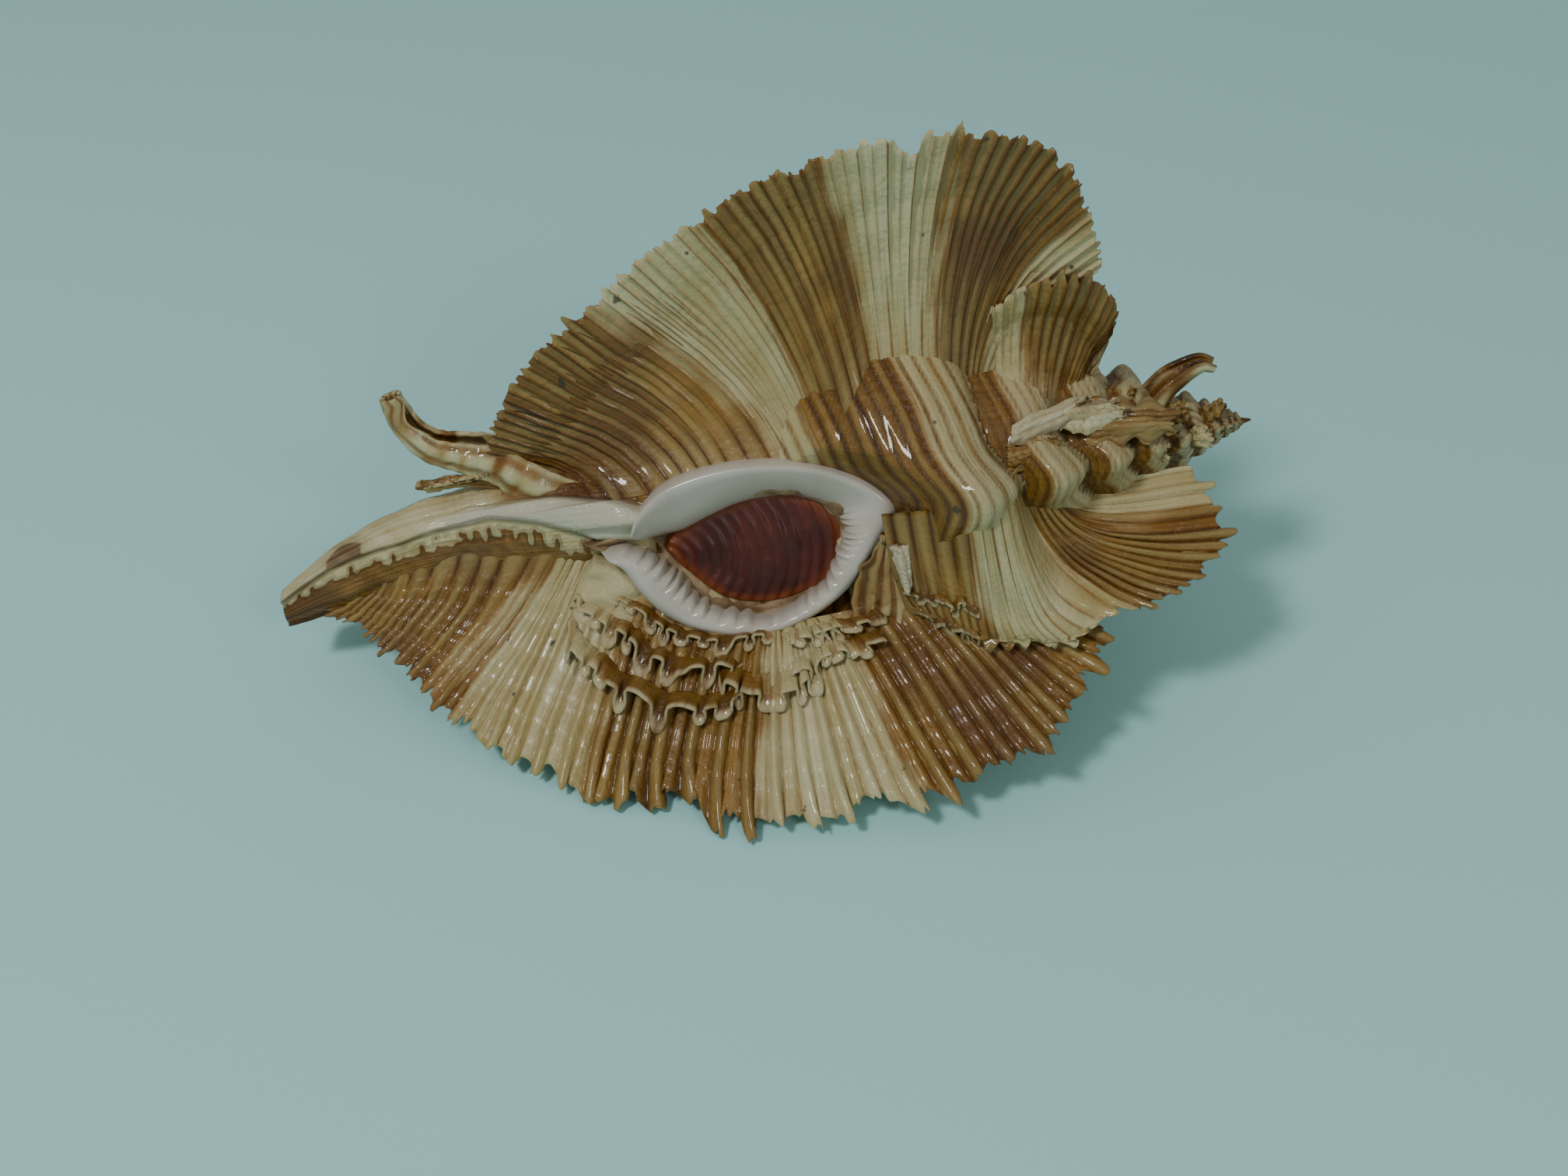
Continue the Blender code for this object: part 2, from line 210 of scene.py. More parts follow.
def both(value, shape):
    """A value of each point of a sheet, for both of its faces."""
    value = np.broadcast_to(value, shape)
    return np.concatenate([value, value[:, ::-1]], 1)


# %% [markdown]
# Materials are small sums. `Number` and `Colour` wrap a socket, so that arithmetic in the text below
# becomes nodes.


# %%
# Arithmetic in materials
class Number:
    """A number in a material: arithmetic on it adds Math nodes."""

    def __init__(self, tree, socket):
        self.tree, self.socket = tree, socket

    def math(self, operation, *others):
        node = self.tree.nodes.new("ShaderNodeMath")
        node.operation = operation
        for slot, value in zip(node.inputs, (self, *others)):
            if isinstance(value, Number):
                self.tree.links.new(value.socket, slot)
            else:
                slot.default_value = value
        return Number(self.tree, node.outputs[0])

    def __add__(self, other):
        return self.math("ADD", other)

    def __sub__(self, other):
        return self.math("SUBTRACT", other)

    def __rsub__(self, other):
        return (self * -1.0) + other

    def __mul__(self, other):
        return self.math("MULTIPLY", other)

    __radd__, __rmul__ = __add__, __mul__

    def sine(self):
        return self.math("SINE")

    def clamp(self):
        return self.math("MAXIMUM", 0.0).math("MINIMUM", 1.0)

    def step(self, low, high):
        """Smooth step from 0 at low to 1 at high."""
        f = ((self - low) * (1.0 / (high - low))).clamp()
        return f * f * (3.0 - 2.0 * f)


class Material:
    """A Principled material and the nodes that feed it."""

    def __init__(self, name, **constants):
        self.made = bpy.data.materials.new(name)
        self.made.use_nodes = True
        self.tree = self.made.node_tree
        self.shader = self.tree.nodes["Principled BSDF"]
        for key, value in constants.items():
            self.shader.inputs[key.replace("_", " ")].default_value = value

    def node(self, kind, output=0, inputs=None, **settings):
        """Any other node, its settings and its inputs, and the socket it gives."""
        node = self.tree.nodes.new("ShaderNode" + kind)
        for key, value in settings.items():
            setattr(node, key, value)
        for key, value in (inputs or {}).items():
            socket = value.socket if isinstance(value, Number) else value
            if isinstance(socket, bpy.types.NodeSocket):
                self.tree.links.new(socket, node.inputs[key])
            else:
                node.inputs[key].default_value = socket
        return Number(self.tree, node.outputs[output])

    def mark(self, name):
        return self.node("Attribute", output="Fac", attribute_name=name)

    def noise(self, scale, detail=4.0, vector=None):
        place_at = vector or self.node("TexCoord", output="Object")
        inputs = {"Vector": place_at, "Scale": scale, "Detail": detail, "Roughness": 0.55}
        return self.node("TexNoise", inputs=inputs)

    def mix(self, amount, first, second):
        """first where amount is 0, second where it is 1. Colours are linear (r, g, b)."""
        four = [(*c, 1.0) if isinstance(c, tuple) else c for c in (first, second)]
        inputs = {0: amount, 6: four[0], 7: four[1]}
        return self.node("Mix", output=2, inputs=inputs, data_type="RGBA")

    def feed(self, name, value):
        self.tree.links.new(value.socket, self.shader.inputs[name])

    def bump(self, height, strength, distance):
        """height is in units of distance, in metres."""
        inputs = {"Height": height, "Strength": strength, "Distance": distance}
        self.feed("Normal", self.node("Bump", inputs=inputs))


# %% [markdown]
# The shell's colour follows the spiral bands of growth: `band` counts them from the canal, brown
# between even and odd numbers and cream between odd and even ones. `rib` is 1 on a ridge and -1 in a
# groove, where the colour is darkened as painted shade (in the cream bands partly over the shell's own
# brown lines), `tone` differs from rib to rib, `growth` is the length along the growth in mm, `pale`
# washes the brown out and `white` marks bare porcelain. Painting by these marks rather than by an image
# keeps every line on its own rib, also where the wing bends.

# %%
# Shell material
CREAM = (0.42, 0.325, 0.12)
PALE = (0.63, 0.585, 0.35)
TAN = (0.34, 0.185, 0.034)
AMBER = (0.27, 0.105, 0.008)
BROWN = (0.16, 0.066, 0.005)
# Painted shade for the grooves of the brown bands
GROOVE_SHADE = (0.045, 0.016, 0.003)
PLUM = (0.11, 0.040, 0.014)
WHITE = (0.57, 0.535, 0.42)
DIRT = (0.035, 0.032, 0.018)


def shell_material():
    m = Material("shell", Roughness=0.34, IOR=1.45, Coat_Weight=0.34, Coat_Roughness=0.035)
    m.shader.inputs["Specular IOR Level"].default_value = 0.3
    band, rib, tone = m.mark("band"), m.mark("rib"), m.mark("tone")
    growth, pale, white = m.mark("growth"), m.mark("pale"), m.mark("white")
    large, small, fine = m.noise(130.0, 3.0), m.noise(900.0, 4.0), m.noise(2600.0, 2.0)
    grown = m.noise(1.1, 4.0, m.node("CombineXYZ", inputs={"X": growth, "Y": band * 1.5}))
    streak = m.noise(1.0, 3.0, m.node("CombineXYZ", inputs={"X": growth * 0.22, "Y": band * 34.0}))
    level = ((band + (large - 0.5) * 0.22 + tone * 0.09 + (streak - 0.5) * 0.24) * np.pi).sine()
    brown = level.step(-0.22, 0.26) * (1.0 - pale)
    # 1 in the grooves between ribs: painted shade in the hollows, which in the cream bands also lays the
    #                                shell's own brown lines
    groove_lines_and_shade = rib.step(0.32, -0.45)
    cream = m.mix((tone * 0.35 + large * 0.6 + streak * 0.9 - 0.25).clamp(), CREAM, PALE)
    cream = m.mix(level.step(-0.75, 0.0) * streak.step(0.42, 0.7) * 0.6, cream, TAN)
    line = m.mix(tone.step(-0.6, 0.6), AMBER, BROWN)
    # Cream grooves turn amber or brown: partly the shell's own lines, partly painted shade.
    cream = m.mix(groove_lines_and_shade * (0.35 + 1.1 * grown).clamp() * 0.9, cream, line)
    tan = m.mix((tone * 0.55 + grown + streak * 0.9 - 0.75).clamp() * 0.85, BROWN, TAN)
    tan = m.mix(rib.step(0.1, 1.1) * (0.1 + 0.7 * large), tan, CREAM)
    tan = m.mix(m.noise(75.0, 2.0).step(0.54, 0.70) * 0.65, tan, PLUM)
    # Painted shade: the grooves of the brown bands go nearly black.
    tan = m.mix(groove_lines_and_shade * 0.85, tan, GROOVE_SHADE)
    tan = m.mix(level.step(0.45, 0.05) * 0.5, tan, AMBER)
    colour = m.mix(brown, cream, tan)
    colour = m.mix(white, colour, WHITE)
    specks = m.noise(620.0, 2.0).step(0.71, 0.76) * (1.0 - white * 0.8)
    colour = m.mix(specks * 0.8, colour, DIRT)
    m.feed("Base Color", colour)
    m.feed("Roughness", (0.20 + 0.34 * small + 0.2 * specks).clamp())
    lines_across = (growth * 9.0 + large * 9.0).sine()
    m.bump(lines_across * 0.03 + small * 0.9 + fine * 0.55 + streak * 0.7, 0.85, 0.00022)
    return m.made


def porcelain():
    m = Material("porcelain", Roughness=0.16, IOR=1.5, Coat_Weight=0.5, Coat_Roughness=0.06)
    m.shader.inputs["Specular IOR Level"].default_value = 0.4
    m.shader.inputs["Subsurface Weight"].default_value = 0.12
    m.shader.inputs["Subsurface Radius"].default_value = (0.0012, 0.0009, 0.0006)
    cloud = m.noise(200.0, 4.0)
    colour = m.mix(cloud.step(0.35, 0.75) * 0.6, (0.61, 0.565, 0.49), (0.44, 0.385, 0.31))
    m.feed("Base Color", colour)
    m.feed("Roughness", 0.12 + 0.2 * m.noise(700.0))
    m.bump(cloud, 0.25, 0.0002)
    return m.made


def horn():
    m = Material("operculum", IOR=1.45, Coat_Weight=0.12, Coat_Roughness=0.15)
    ring, side = m.mark("growth"), m.mark("out")
    cloud = m.noise(260.0, 4.0)
    line = (ring * 7.0 + cloud * 6.0).sine()
    colour = m.mix(cloud.step(0.3, 0.7), (0.055, 0.008, 0.006), (0.13, 0.020, 0.010))
    colour = m.mix(line.step(0.2, 1.0) * 0.35, colour, (0.035, 0.006, 0.006))
    colour = m.mix(side.step(0.80, 1.0) * 0.8, colour, (0.26, 0.060, 0.010))
    m.feed("Base Color", colour)
    m.feed("Roughness", 0.28 + 0.25 * cloud)
    m.bump(line * 0.5 + cloud, 0.6, 0.00025)
    return m.made


def tissue():
    m = Material("dried_tissue", IOR=1.45)
    cloud, grain = m.noise(350.0, 5.0), m.noise(1400.0, 3.0)
    colour = m.mix(cloud.step(0.35, 0.65), (0.17, 0.10, 0.045), (0.40, 0.29, 0.16))
    m.feed("Base Color", colour)
    m.feed("Roughness", 0.45 + 0.3 * grain)
    m.bump(cloud + grain * 0.4, 0.8, 0.0004)
    return m.made


SHELL, PORCELAIN, HORN, TISSUE = shell_material(), porcelain(), horn(), tissue()
print("materials:", [m.name for m in (SHELL, PORCELAIN, HORN, TISSUE)])

# %% [markdown]
# The body is one surface round the axis. At each place the outermost whorl shows, so the spiral
# seam comes by itself. A whorl is smaller by the same share for each turn back, the way a real shell
# grows; a lathe profile could not show this, because it has no spiral.

# %%
# Body
BODY_RINGS, BODY_SIDES = 318, 306
CORD = 1.35  # from one spiral cord to the next, on the last whorl
# (distance below the apex, colour band); (u, height of the web); (u, azimuth) of the seam and the fold
BAND_AT = [(21.0, 4.2), (23.0, 3.8), (29.2, 3.0), (39.6, 2.0), (53.0, 1.0), (63.0, 0.3), (90.0, 0.1)]
WEB = [(4, 1.9), (10, 2.7), (15, 3.6), (20, 4.7), (25, 5.9), (30, 6.5), (35, 6.7), (40, 6.3), (46, 5.0)]
SEAM = [(-2, 56), (2, 54), (8, 42), (15, 47), (18.7, 36), (21.1, 26), (23, 14), (26, 8)]
FOLD_TOP = [(-2, 60), (8, 48), (13.5, 62), (20.2, 57), (24.3, 47), (26.6, 38)]
# Ovals in the mouth: (u, t) of the middle, half length and half width
UPPER_OVAL, LOWER_OVAL = (34.5, -2.7, 7.2, 4.9), (34.9, -8.5, 5.4, 5.2)
RIM_OVAL = (35.0, -2.9, 10.0, 6.5)
PIT_FLOOR = 1.2  # its height over the axis


def whorl(local):
    """Radius of a full-size whorl at each distance below the apex; 0 above its suture."""
    path = curve(PROFILE, np.linspace(0, 1, 400))
    return np.where(local < PROFILE[0][0], 0.0, np.interp(local, path[:, 0], path[:, 1]))


def body_fields(u, phi):
    """Radius, local drop and total angle of the outermost whorl at each (u, azimuth)."""
    drop = AXIS - u
    # The core that shows where no whorl does: the canal, and a thin cone up to the apex
    radius = np.minimum(np.minimum(whorl(np.maximum(drop, 46.0)), 4.6), 0.26 * drop)
    angle = (phi - LIP) % 360.0 - 360.0
    local = drop / GROWTH ** (angle / 360.0)
    for turn in range(TURNS):
        grown = (phi - LIP) % 360.0 - 360.0 * (turn + 1)
        scale = GROWTH ** (grown / 360.0)
        at = drop / scale
        across = grown % WING_STEP - 0.5 * WING_STEP
        at = at + LOBE * (hump(across, *LOBES[0]) + hump(across, *LOBES[1]) - 0.5)
        knob = KNOB * hump(across, KNOB_AT, KNOB_WIDTH) * hump(at, KNOB_DROP, KNOB_LENGTH)
        before, after = (-grown) % WING_STEP, grown % WING_STEP
        flare = np.maximum(np.exp(-before / FLARE_BEFORE), np.exp(-after / FLARE_AFTER))
        flare = FLARE * flare * step(48, 34, at)
        own = scale * np.where(whorl(at) > 0, whorl(at) + knob + flare, 0.0)
        better = own > radius
        radius = np.where(better, own, radius)
        local = np.where(better, at, local)
        angle = np.where(better, grown, angle)
    return radius, local, angle


def web_radius(u, phi):
    """The broad face beside the mouth: a plane at height H(u) over the axis, up to the left wing."""
    table = np.array(WEB, float)
    height = np.interp(u, table[:, 0], table[:, 1], left=0.0, right=0.0)
    inside = step(52, 44, phi) * step(10, 30, phi)
    return inside * height / np.cos(np.radians(np.clip(phi, -50, 92) - MOUTH))


def body_radius(u, phi):
    """The body's radius where the wings are rooted, before cords and mouth."""
    return np.maximum(body_fields(u, phi)[0], web_radius(u, (phi + 90.0) % 360.0 - 90.0))


def canal_shift(u):
    """The bend of the canal's end: BEND mm at the tip, towards the azimuth BEND_TO."""
    amount = BEND * np.clip((BEND_FROM - u) / (BEND_FROM - CANAL_TIP), 0, 1) ** 1.6
    return amount[..., None] * outward(np.full_like(u, BEND_TO))


def oval(u, t, u_middle, t_middle, half_length, half_width):
    """How far out a point lies in an oval: 0 at its middle, 1 on its edge."""
    return np.hypot((u - u_middle) / half_length, (t - t_middle) / half_width)


def open_mouth(u, phi, radius):
    """Sinks the pit behind the rim into the whorl, and keeps the whorl below the rim round it."""
    slant = np.cos(np.radians(np.clip(phi - MOUTH, -70, 70)))
    t = MOUTH_HEIGHT / slant * np.sin(np.radians(phi - MOUTH))
    opening = np.minimum(oval(u, t, *UPPER_OVAL), oval(u, t, *LOWER_OVAL))
    front = (np.abs(phi - MOUTH) < 80) & (u > 20) & (u < 50)
    pit = step(1.12, 0.98, opening) * front
    radius = radius * (1 - pit) + np.minimum(radius, PIT_FLOOR / slant) * pit
    rim = oval(u, t, *RIM_OVAL)
    dish = (MOUTH_HEIGHT - 0.9 + 14 * np.maximum(rim - 0.98, 0) - 8 * np.maximum(0.95 - rim, 0)) / slant
    return np.where((u > 28) & (u < 50) & (np.abs(phi - MOUTH) < 62), np.minimum(radius, dish), radius)


def canal_marks(u, phi):
    """Masks on the canal: its cream flange, the white fold on it, the strip of brown marks, and how
    high the flange and the fold stand, in mm."""
    seam, top = (np.interp(u, *np.array(table, float).T) for table in (SEAM, FOLD_TOP))
    on_canal = step(27.4, 26.6, u)
    flange = on_canal * step(-2, 3, phi - seam) * step(110, 92, phi) * step(24, 10, u)
    across = np.clip((phi - seam) / np.maximum(top - seam, 4.0), 0, 1)
    fold = on_canal * step(-1, 2, phi - seam) * step(4, -4, phi - top) * step(9, 14, u)
    rise = 0.45 * np.maximum(flange, fold) + fold * 0.75 * np.sin(np.pi * across) ** 0.6 * step(12, 25, u)
    strip = on_canal * step(2, -1, phi - seam) * step(-2, 8, phi + 5 + 2.2 * np.maximum(u - 14, 0))
    return flange, fold, strip, rise


def canal_brown_and_shade(u, phi, flange, strip):
    """How brown the canal is: bars on its strip, a brown foot on it that is painted shade along the lip
    wing's root, a dark line along the seam that is painted shade in the crease there, and a blotch on the
    flange near the end."""
    seam = np.interp(u, *np.array(SEAM, float).T)
    bars = np.cos(2 * np.pi * (u + 0.010 * (phi - seam)) / 1.15 + 1.6 * waves(u * 0.7, phi * 0.01, 61))
    bars = bars + 0.7 * waves(u * 1.4, phi * 0.06, 62)
    below = phi - seam + 4 * waves(u * 3, 0, 63)
    # Painted shade: the foot darkens the strip where it runs into the lip wing's root.
    foot = 0.85 * step(-13, -24, below)
    marks = 0.9 * strip * np.maximum(step(-0.3, 0.9, bars) * step(-4, -11, below), foot)
    # Painted shade: a dark line in the crease along the seam.
    marks = np.maximum(marks, 0.7 * step(27, 25, u) * hump(phi - seam, 1.0, 1.8))
    return np.maximum(marks, flange * 1.5 * hump(u, 3.3, 1.5) * hump(phi, 60, 18))


def cords(u, phi, local, scale, plain):
    """Height of the spiral cords: narrow grooves on the large whorls, soft ones on the small whorls and
    the canal, and none where the canal is plain."""
    turn = 2 * np.pi * local / CORD
    soft = np.maximum(step(0.86, 0.70, scale), step(26, 19, u))
    sharp = np.abs(np.cos(0.5 * turn)) ** 0.7 + 0.5 * np.cos(turn) - 0.5
    cord = (1 - soft) * sharp + soft * (0.15 + 0.45 * np.cos(turn))
    cord = cord * (0.75 + 0.4 * waves(local * 2.3, phi * 0.02, 8))
    return (1 - plain) * (0.85 * cord + 0.12 * (1 - soft) * np.cos(3 * turn))


def make_body():
    """Rings along the axis and sides round it, with a radius R(u, phi) and the marks for the material."""
    rings = np.interp(np.linspace(0, 1, BODY_RINGS), [0, 0.2, 0.75, 1], [CANAL_TIP, 22, 53, AXIS - 0.3])
    azimuths = -90.0 + np.arange(BODY_SIDES) * 360.0 / BODY_SIDES
    u, phi = np.meshgrid(rings, azimuths, indexing="ij")
    radius, local, angle = body_fields(u, phi)
    radius = np.maximum(radius, web_radius(u, phi))
    scale = GROWTH ** (angle / 360.0)
    flange, fold, strip, rise = canal_marks(u, phi)
    plain = np.clip(flange + fold + strip, 0, 1)
    streaks = waves(phi * 0.9 + 0.4 * u, u * 0.12, 31, 9)
    local = local - 1.9 * hump(phi, 90, 26) * step(50, 30, local)
    cord = cords(u, phi, local, scale, plain)
    lumps = 0.12 * waves(u * 0.5, phi * 0.06, 3)
    radius = radius + step(0.5, 3.0, radius) * (0.10 * scale * cord + lumps) + rise + plain * 0.05 * streaks
    radius = open_mouth(u, phi, radius)
    band = np.interp(local, *np.array(BAND_AT).T)
    brown = canal_brown_and_shade(u, phi, flange, strip)
    return shell_piece(
        "body", place(u, radius, phi) + canal_shift(u), SHELL,
        band=band * (1 - plain) + plain * (1.5 - 0.95 * brown), rib=cord * (1 - plain) + 0.4 * plain,
        tone=0.5 * waves(local * 1.7, phi * 0.03, 12) + 0.5 * plain * streaks,
        growth=np.radians(angle) * 10.0, pale=0.0, white=0.85 * fold + 0.12 * (1 + streaks) * flange,
    )


make_body()

# %% [markdown]
# A wing is a fan of rays. Each ray leaves the body, bends up into the wing's plane and ends at the
# outer edge, on a quadratic curve P = (1-v)^2 root + 2v(1-v) knee + v^2 edge. The front and the back
# of the wing have roots of their own, so that both flow out of the body. The ribs start singly at the
# root and part in two on the way out, and every rib has its own size, shade and broken end: a bump
# texture could not give the torn outline.


# %%
# Rays and ribs
WING_THICK = 0.5
BOW = 0.15  # how far along the axis a ray's knee goes with its outer end


def spread(knots, t):
    """Evenly spaced values along the margin, read at each t from 0 to 1."""
    return np.interp(t, np.linspace(0, 1, len(knots)), knots)


def rays_at(azimuth, rays, root, t, cap=0.6, stand=(0.0,)):
    """Foot, knee and edge of each ray and its colour band, at shares t of the margin's length.
    rays: (root u, edge u, edge r, band). root: (u, r, azimuth), where r ON is the body's own radius.
    The knees are at most cap and at least stand times as far out as the edge."""
    fine = curve(rays, np.linspace(0, 1, 3000))
    length = np.append(0, np.cumsum(np.hypot(*np.diff(fine[:, 1:3], axis=0).T)))
    root_u, edge_u, edge_r, band = (np.interp(t * length[-1], length, fine[:, i]) for i in range(4))
    root_r, at = (np.interp(root_u, *np.array(root, float)[:, [0, i]].T) for i in (1, 2))
    root_r = np.where(np.isnan(root_r), body_radius(root_u, at) - 0.4, root_r)
    knee_r = np.minimum(root_r / np.cos(np.radians(np.clip(at - azimuth, -62, 62))), cap * edge_r)
    knee_r = np.maximum(knee_r, spread(stand, t) * edge_r)
    foot = place(root_u, root_r, at) + canal_shift(root_u)
    knee = place(root_u + BOW * (edge_u - root_u), knee_r, azimuth) + canal_shift(root_u)
    return foot, knee, place(edge_u, edge_r, azimuth), band, length[-1]


def along(foot, knee, edge, v):
    """Points (1-v)^2 foot + 2v(1-v) knee + v^2 edge of every ray."""
    return (1 - v) ** 2 * foot[:, None] + 2 * v * (1 - v) * knee[:, None] + v**2 * edge[:, None]


def ridge(x):
    """Round crests at whole numbers, with narrow grooves between: 2 |cos(pi x)|^0.6 - 1."""
    return 2 * np.abs(np.cos(np.pi * x)) ** 0.6 - 1


def ribs_on(t, v, length, spacing, seed):
    """The height and the shade of the ribs over a wing, and two pulses along its margin, of about 1 at the
    end of each main rib and of each half rib. Main ribs are spacing mm apart and part in two."""
    gap = spread(spacing, t)
    phase = np.append(0, np.cumsum(np.diff(t) * length / (0.5 * (gap[1:] + gap[:-1]))))
    first, second = np.round(phase).astype(int), np.round(2 * phase).astype(int)
    r = np.random.default_rng(seed)
    chance = r.uniform(0, 1, (5, second.max() + 1))
    split = step(0.08, 0.62, v[None] + 0.25 * (chance[0, first] - 0.5)[:, None])
    single = ((0.7 + 0.5 * chance[1, first]) * ridge(phase))[:, None]
    double = ((0.6 + 0.7 * chance[2, second]) * ridge(2 * phase))[:, None]
    height = (1 - 0.6 * split) * single + (0.05 + 0.75 * split) * double
    tone = (1 - split) * (2 * chance[3, first] - 1)[:, None] + split * (2 * chance[4, second] - 1)[:, None]
    tone = 0.8 * tone + 0.5 * waves(v[None] * 9, phase[:, None] * 0.9, seed)
    main = (0.5 + 0.5 * np.cos(2 * np.pi * phase)) * (0.35 + 0.65 * chance[3, first])
    half = (0.5 + 0.5 * np.cos(4 * np.pi * phase)) * chance[2, second] ** 1.5
    return height, tone, main, half


def wing(
    name, azimuth, rays, front, back, spacing, flute=(0.3,), tooth=0.9, hook=(0.0,), lean=0.0, wave=0.5,
    cap=0.6, stand=(0.0,), fading=0.5, ragged=1.4, jag=0.16, fine=0.7, seed=1, columns=560, rows=40,
):
    """A closed fan with a front and a back root line. Lengths are in mm.

    flute: height of the ribs. tooth, fine: length of the teeth, and the half ribs' part in them. hook: how
    far the main ribs' ends curl. ragged, jag: depth of the large and the small tears. lean, wave: how far
    the margin leaves the plane, evenly and in waves. fading: how much paler the wing is at its root."""
    t, v = np.linspace(0, 1, columns), 1 - (1 - np.linspace(0, 1, rows)) ** 1.15
    length = rays_at(azimuth, rays, front, t)[-1]
    rib, tone, main, half = ribs_on(t, v, length, spacing, seed)
    torn = ragged * np.clip(waves(t * length * 0.9, 0, seed + 5) - 0.7, 0, 1)
    torn = torn + jag * np.sign(waves(t * length * 5.0, 0, seed + 6))
    groups = np.clip(0.6 + 0.7 * waves(t * length * 0.7, 0, seed + 7), 0.15, 1.3)
    teeth = 0.75 * tooth * np.tanh(2.4 * (fine * half + (1.4 - fine) * main - 0.4)) * groups
    reach = (teeth - torn)[:, None] * step(0.80, 1.0, v)
    curl = (spread(hook, t) * step(0.12, 0.6, main))[:, None] * np.clip((v - 0.78) / 0.22, 0, 1) ** 2
    relief = spread(flute, t)[:, None] * step(0, 0.2, v) * (0.4 + 0.6 * v) * rib
    relief = relief + 0.10 * step(0.1, 0.4, v) * waves(v[None] * 20, t[:, None] * 6, seed + 9)
    bend = lean * v**2 + wave * v**2 * waves(t * 9, 0, seed + 8)[:, None] - 0.35 * curl
    sheets = []
    for root, side in ((front, 1.0), (back, -1.0)):
        foot, knee, edge, band, _ = rays_at(azimuth, rays, root, t, cap, stand)
        points = along(foot, knee, edge, v[None, :, None])
        ray = edge - knee
        ray /= np.linalg.norm(ray, axis=1, keepdims=True)
        points = points + (reach + 0.7 * curl)[..., None] * ray[:, None]
        points[..., 0] += 0.8 * curl * v**3
        off = side * 0.5 * WING_THICK * (1 - 0.5 * v**2) + relief + bend
        sheets.append(points + off[..., None] * around(np.float64(azimuth)))
    margin = 0.5 * (sheets[0][:, -1:] + sheets[1][:, -1:]) + 0.08 * ray[:, None]
    grid = np.concatenate([sheets[0], margin, sheets[1][:, ::-1]], axis=1)
    ring = np.concatenate([v, [1.0], v[::-1]])[None]
    span = np.linalg.norm(edge - foot, axis=1)[:, None]

    def over_all(value):
        """A value of the front, for front, margin and back."""
        return np.concatenate([value, value[:, -1:], value[:, ::-1]], 1)

    return shell_piece(
        name, grid, SHELL, ends="strip", band=band[:, None], rib=over_all(rib), tone=over_all(tone),
        growth=span * ring + 3.0, pale=fading * step(0.42, 0.05, ring), white=0.0,
    )


# %% [markdown]
# The wings' own numbers, read off the shell: where each ray starts on the body, where it ends in the
# wing's plane, and the colour band it carries.

# %%
# Wings
ON = np.nan  # in a root line: on the body itself
LEFT_RAYS = [
    (20.0, 13.8, 4.8, 0.1), (24.3, 16.4, 8.6, 0.25), (28.1, 17.8, 11.0, 0.4), (31.3, 20.4, 14.0, 0.65),
    (33.7, 23.4, 16.4, 0.8), (37.8, 27.6, 19.0, 1.0), (39.3, 30.7, 21.3, 1.5), (40.7, 34.5, 23.2, 2.0),
    (42.7, 38.3, 25.2, 2.5), (44.2, 42.2, 26.4, 2.85), (45.6, 46.0, 27.2, 3.3), (48.2, 51.4, 27.3, 3.85),
    (50.2, 55.6, 26.3, 4.2), (51.3, 59.2, 24.0, 4.55), (52.0, 60.5, 20.6, 4.85), (52.5, 61.2, 17.8, 5.25),
    (53.1, 61.3, 15.0, 5.9),
]
LIP_RAYS = [
    (4.5, 0.4, 4.0, 0.3), (8.6, 4.0, 7.0, 0.5), (12.8, 6.3, 9.0, 0.7), (16.0, 8.0, 11.2, 0.85),
    (20.0, 9.8, 13.8, 1.0), (22.0, 13.6, 17.2, 1.5), (25.2, 18.6, 20.5, 2.0), (28.6, 23.4, 22.9, 2.35),
    (33.2, 29.0, 24.6, 2.75), (35.2, 34.0, 25.3, 3.1), (37.0, 39.0, 25.3, 3.5), (39.0, 44.4, 24.8, 4.0),
    (42.6, 49.4, 23.6, 4.3), (45.2, 54.0, 21.8, 4.5), (47.0, 57.0, 18.0, 4.7), (48.0, 59.0, 14.6, 5.0),
]
LEFT_FRONT = [
    (19, ON, 60), (22, ON, 53), (24.5, ON, 45), (26, ON, 38), (27.5, 6.6, 36), (29, 6.8, 40), (34, 6.9, 42),
    (38, 6.9, 42), (41, 7.0, 42), (42.6, 7.6, 46), (43.4, ON, 58), (44.8, ON, 76), (54, ON, 80),
]
LIP_FRONT = [
    (2, ON, 34), (5, ON, 26), (8, ON, 19), (12, ON, 20), (15, ON, 21), (18.5, ON, 13), (21, ON, 4),
    (23, 5.4, -6), (25, 6.8, -16), (28, 8.8, -28), (31, 10.2, -28), (36, 10.9, -29.5), (41, 10.7, -27),
    (45, 9.6, -20), (48, 9.2, -16),
]
BACK_RAYS = [
    (13.0, 7.0, 3.8, 0.3), (17.0, 10.6, 10.2, 0.6), (21.0, 15.4, 18.0, 0.9), (26.0, 21.6, 22.8, 1.4),
    (31.0, 28.0, 24.4, 1.9), (36.0, 35.0, 25.6, 2.4), (40.0, 42.0, 26.8, 3.0), (43.6, 48.6, 26.8, 3.5),
    (46.0, 54.0, 25.4, 4.0), (47.8, 57.8, 21.8, 4.4), (49.0, 59.8, 15.8, 5.0),
]
RIGHT_RAYS = [
    (44.0, 45.8, 11.8, 2.3), (47.5, 48.2, 13.4, 2.65), (50.2, 50.6, 14.8, 2.95), (51.6, 53.4, 15.2, 3.3),
    (52.8, 56.8, 15.6, 3.6), (53.8, 59.6, 14.0, 3.9), (54.6, 61.8, 13.7, 4.15), (55.2, 64.4, 12.9, 4.4),
    (55.8, 66.7, 11.6, 4.6), (56.4, 68.0, 9.6, 4.8), (57.0, 67.8, 6.6, 5.05), (57.6, 66.8, 3.4, 5.4),
]
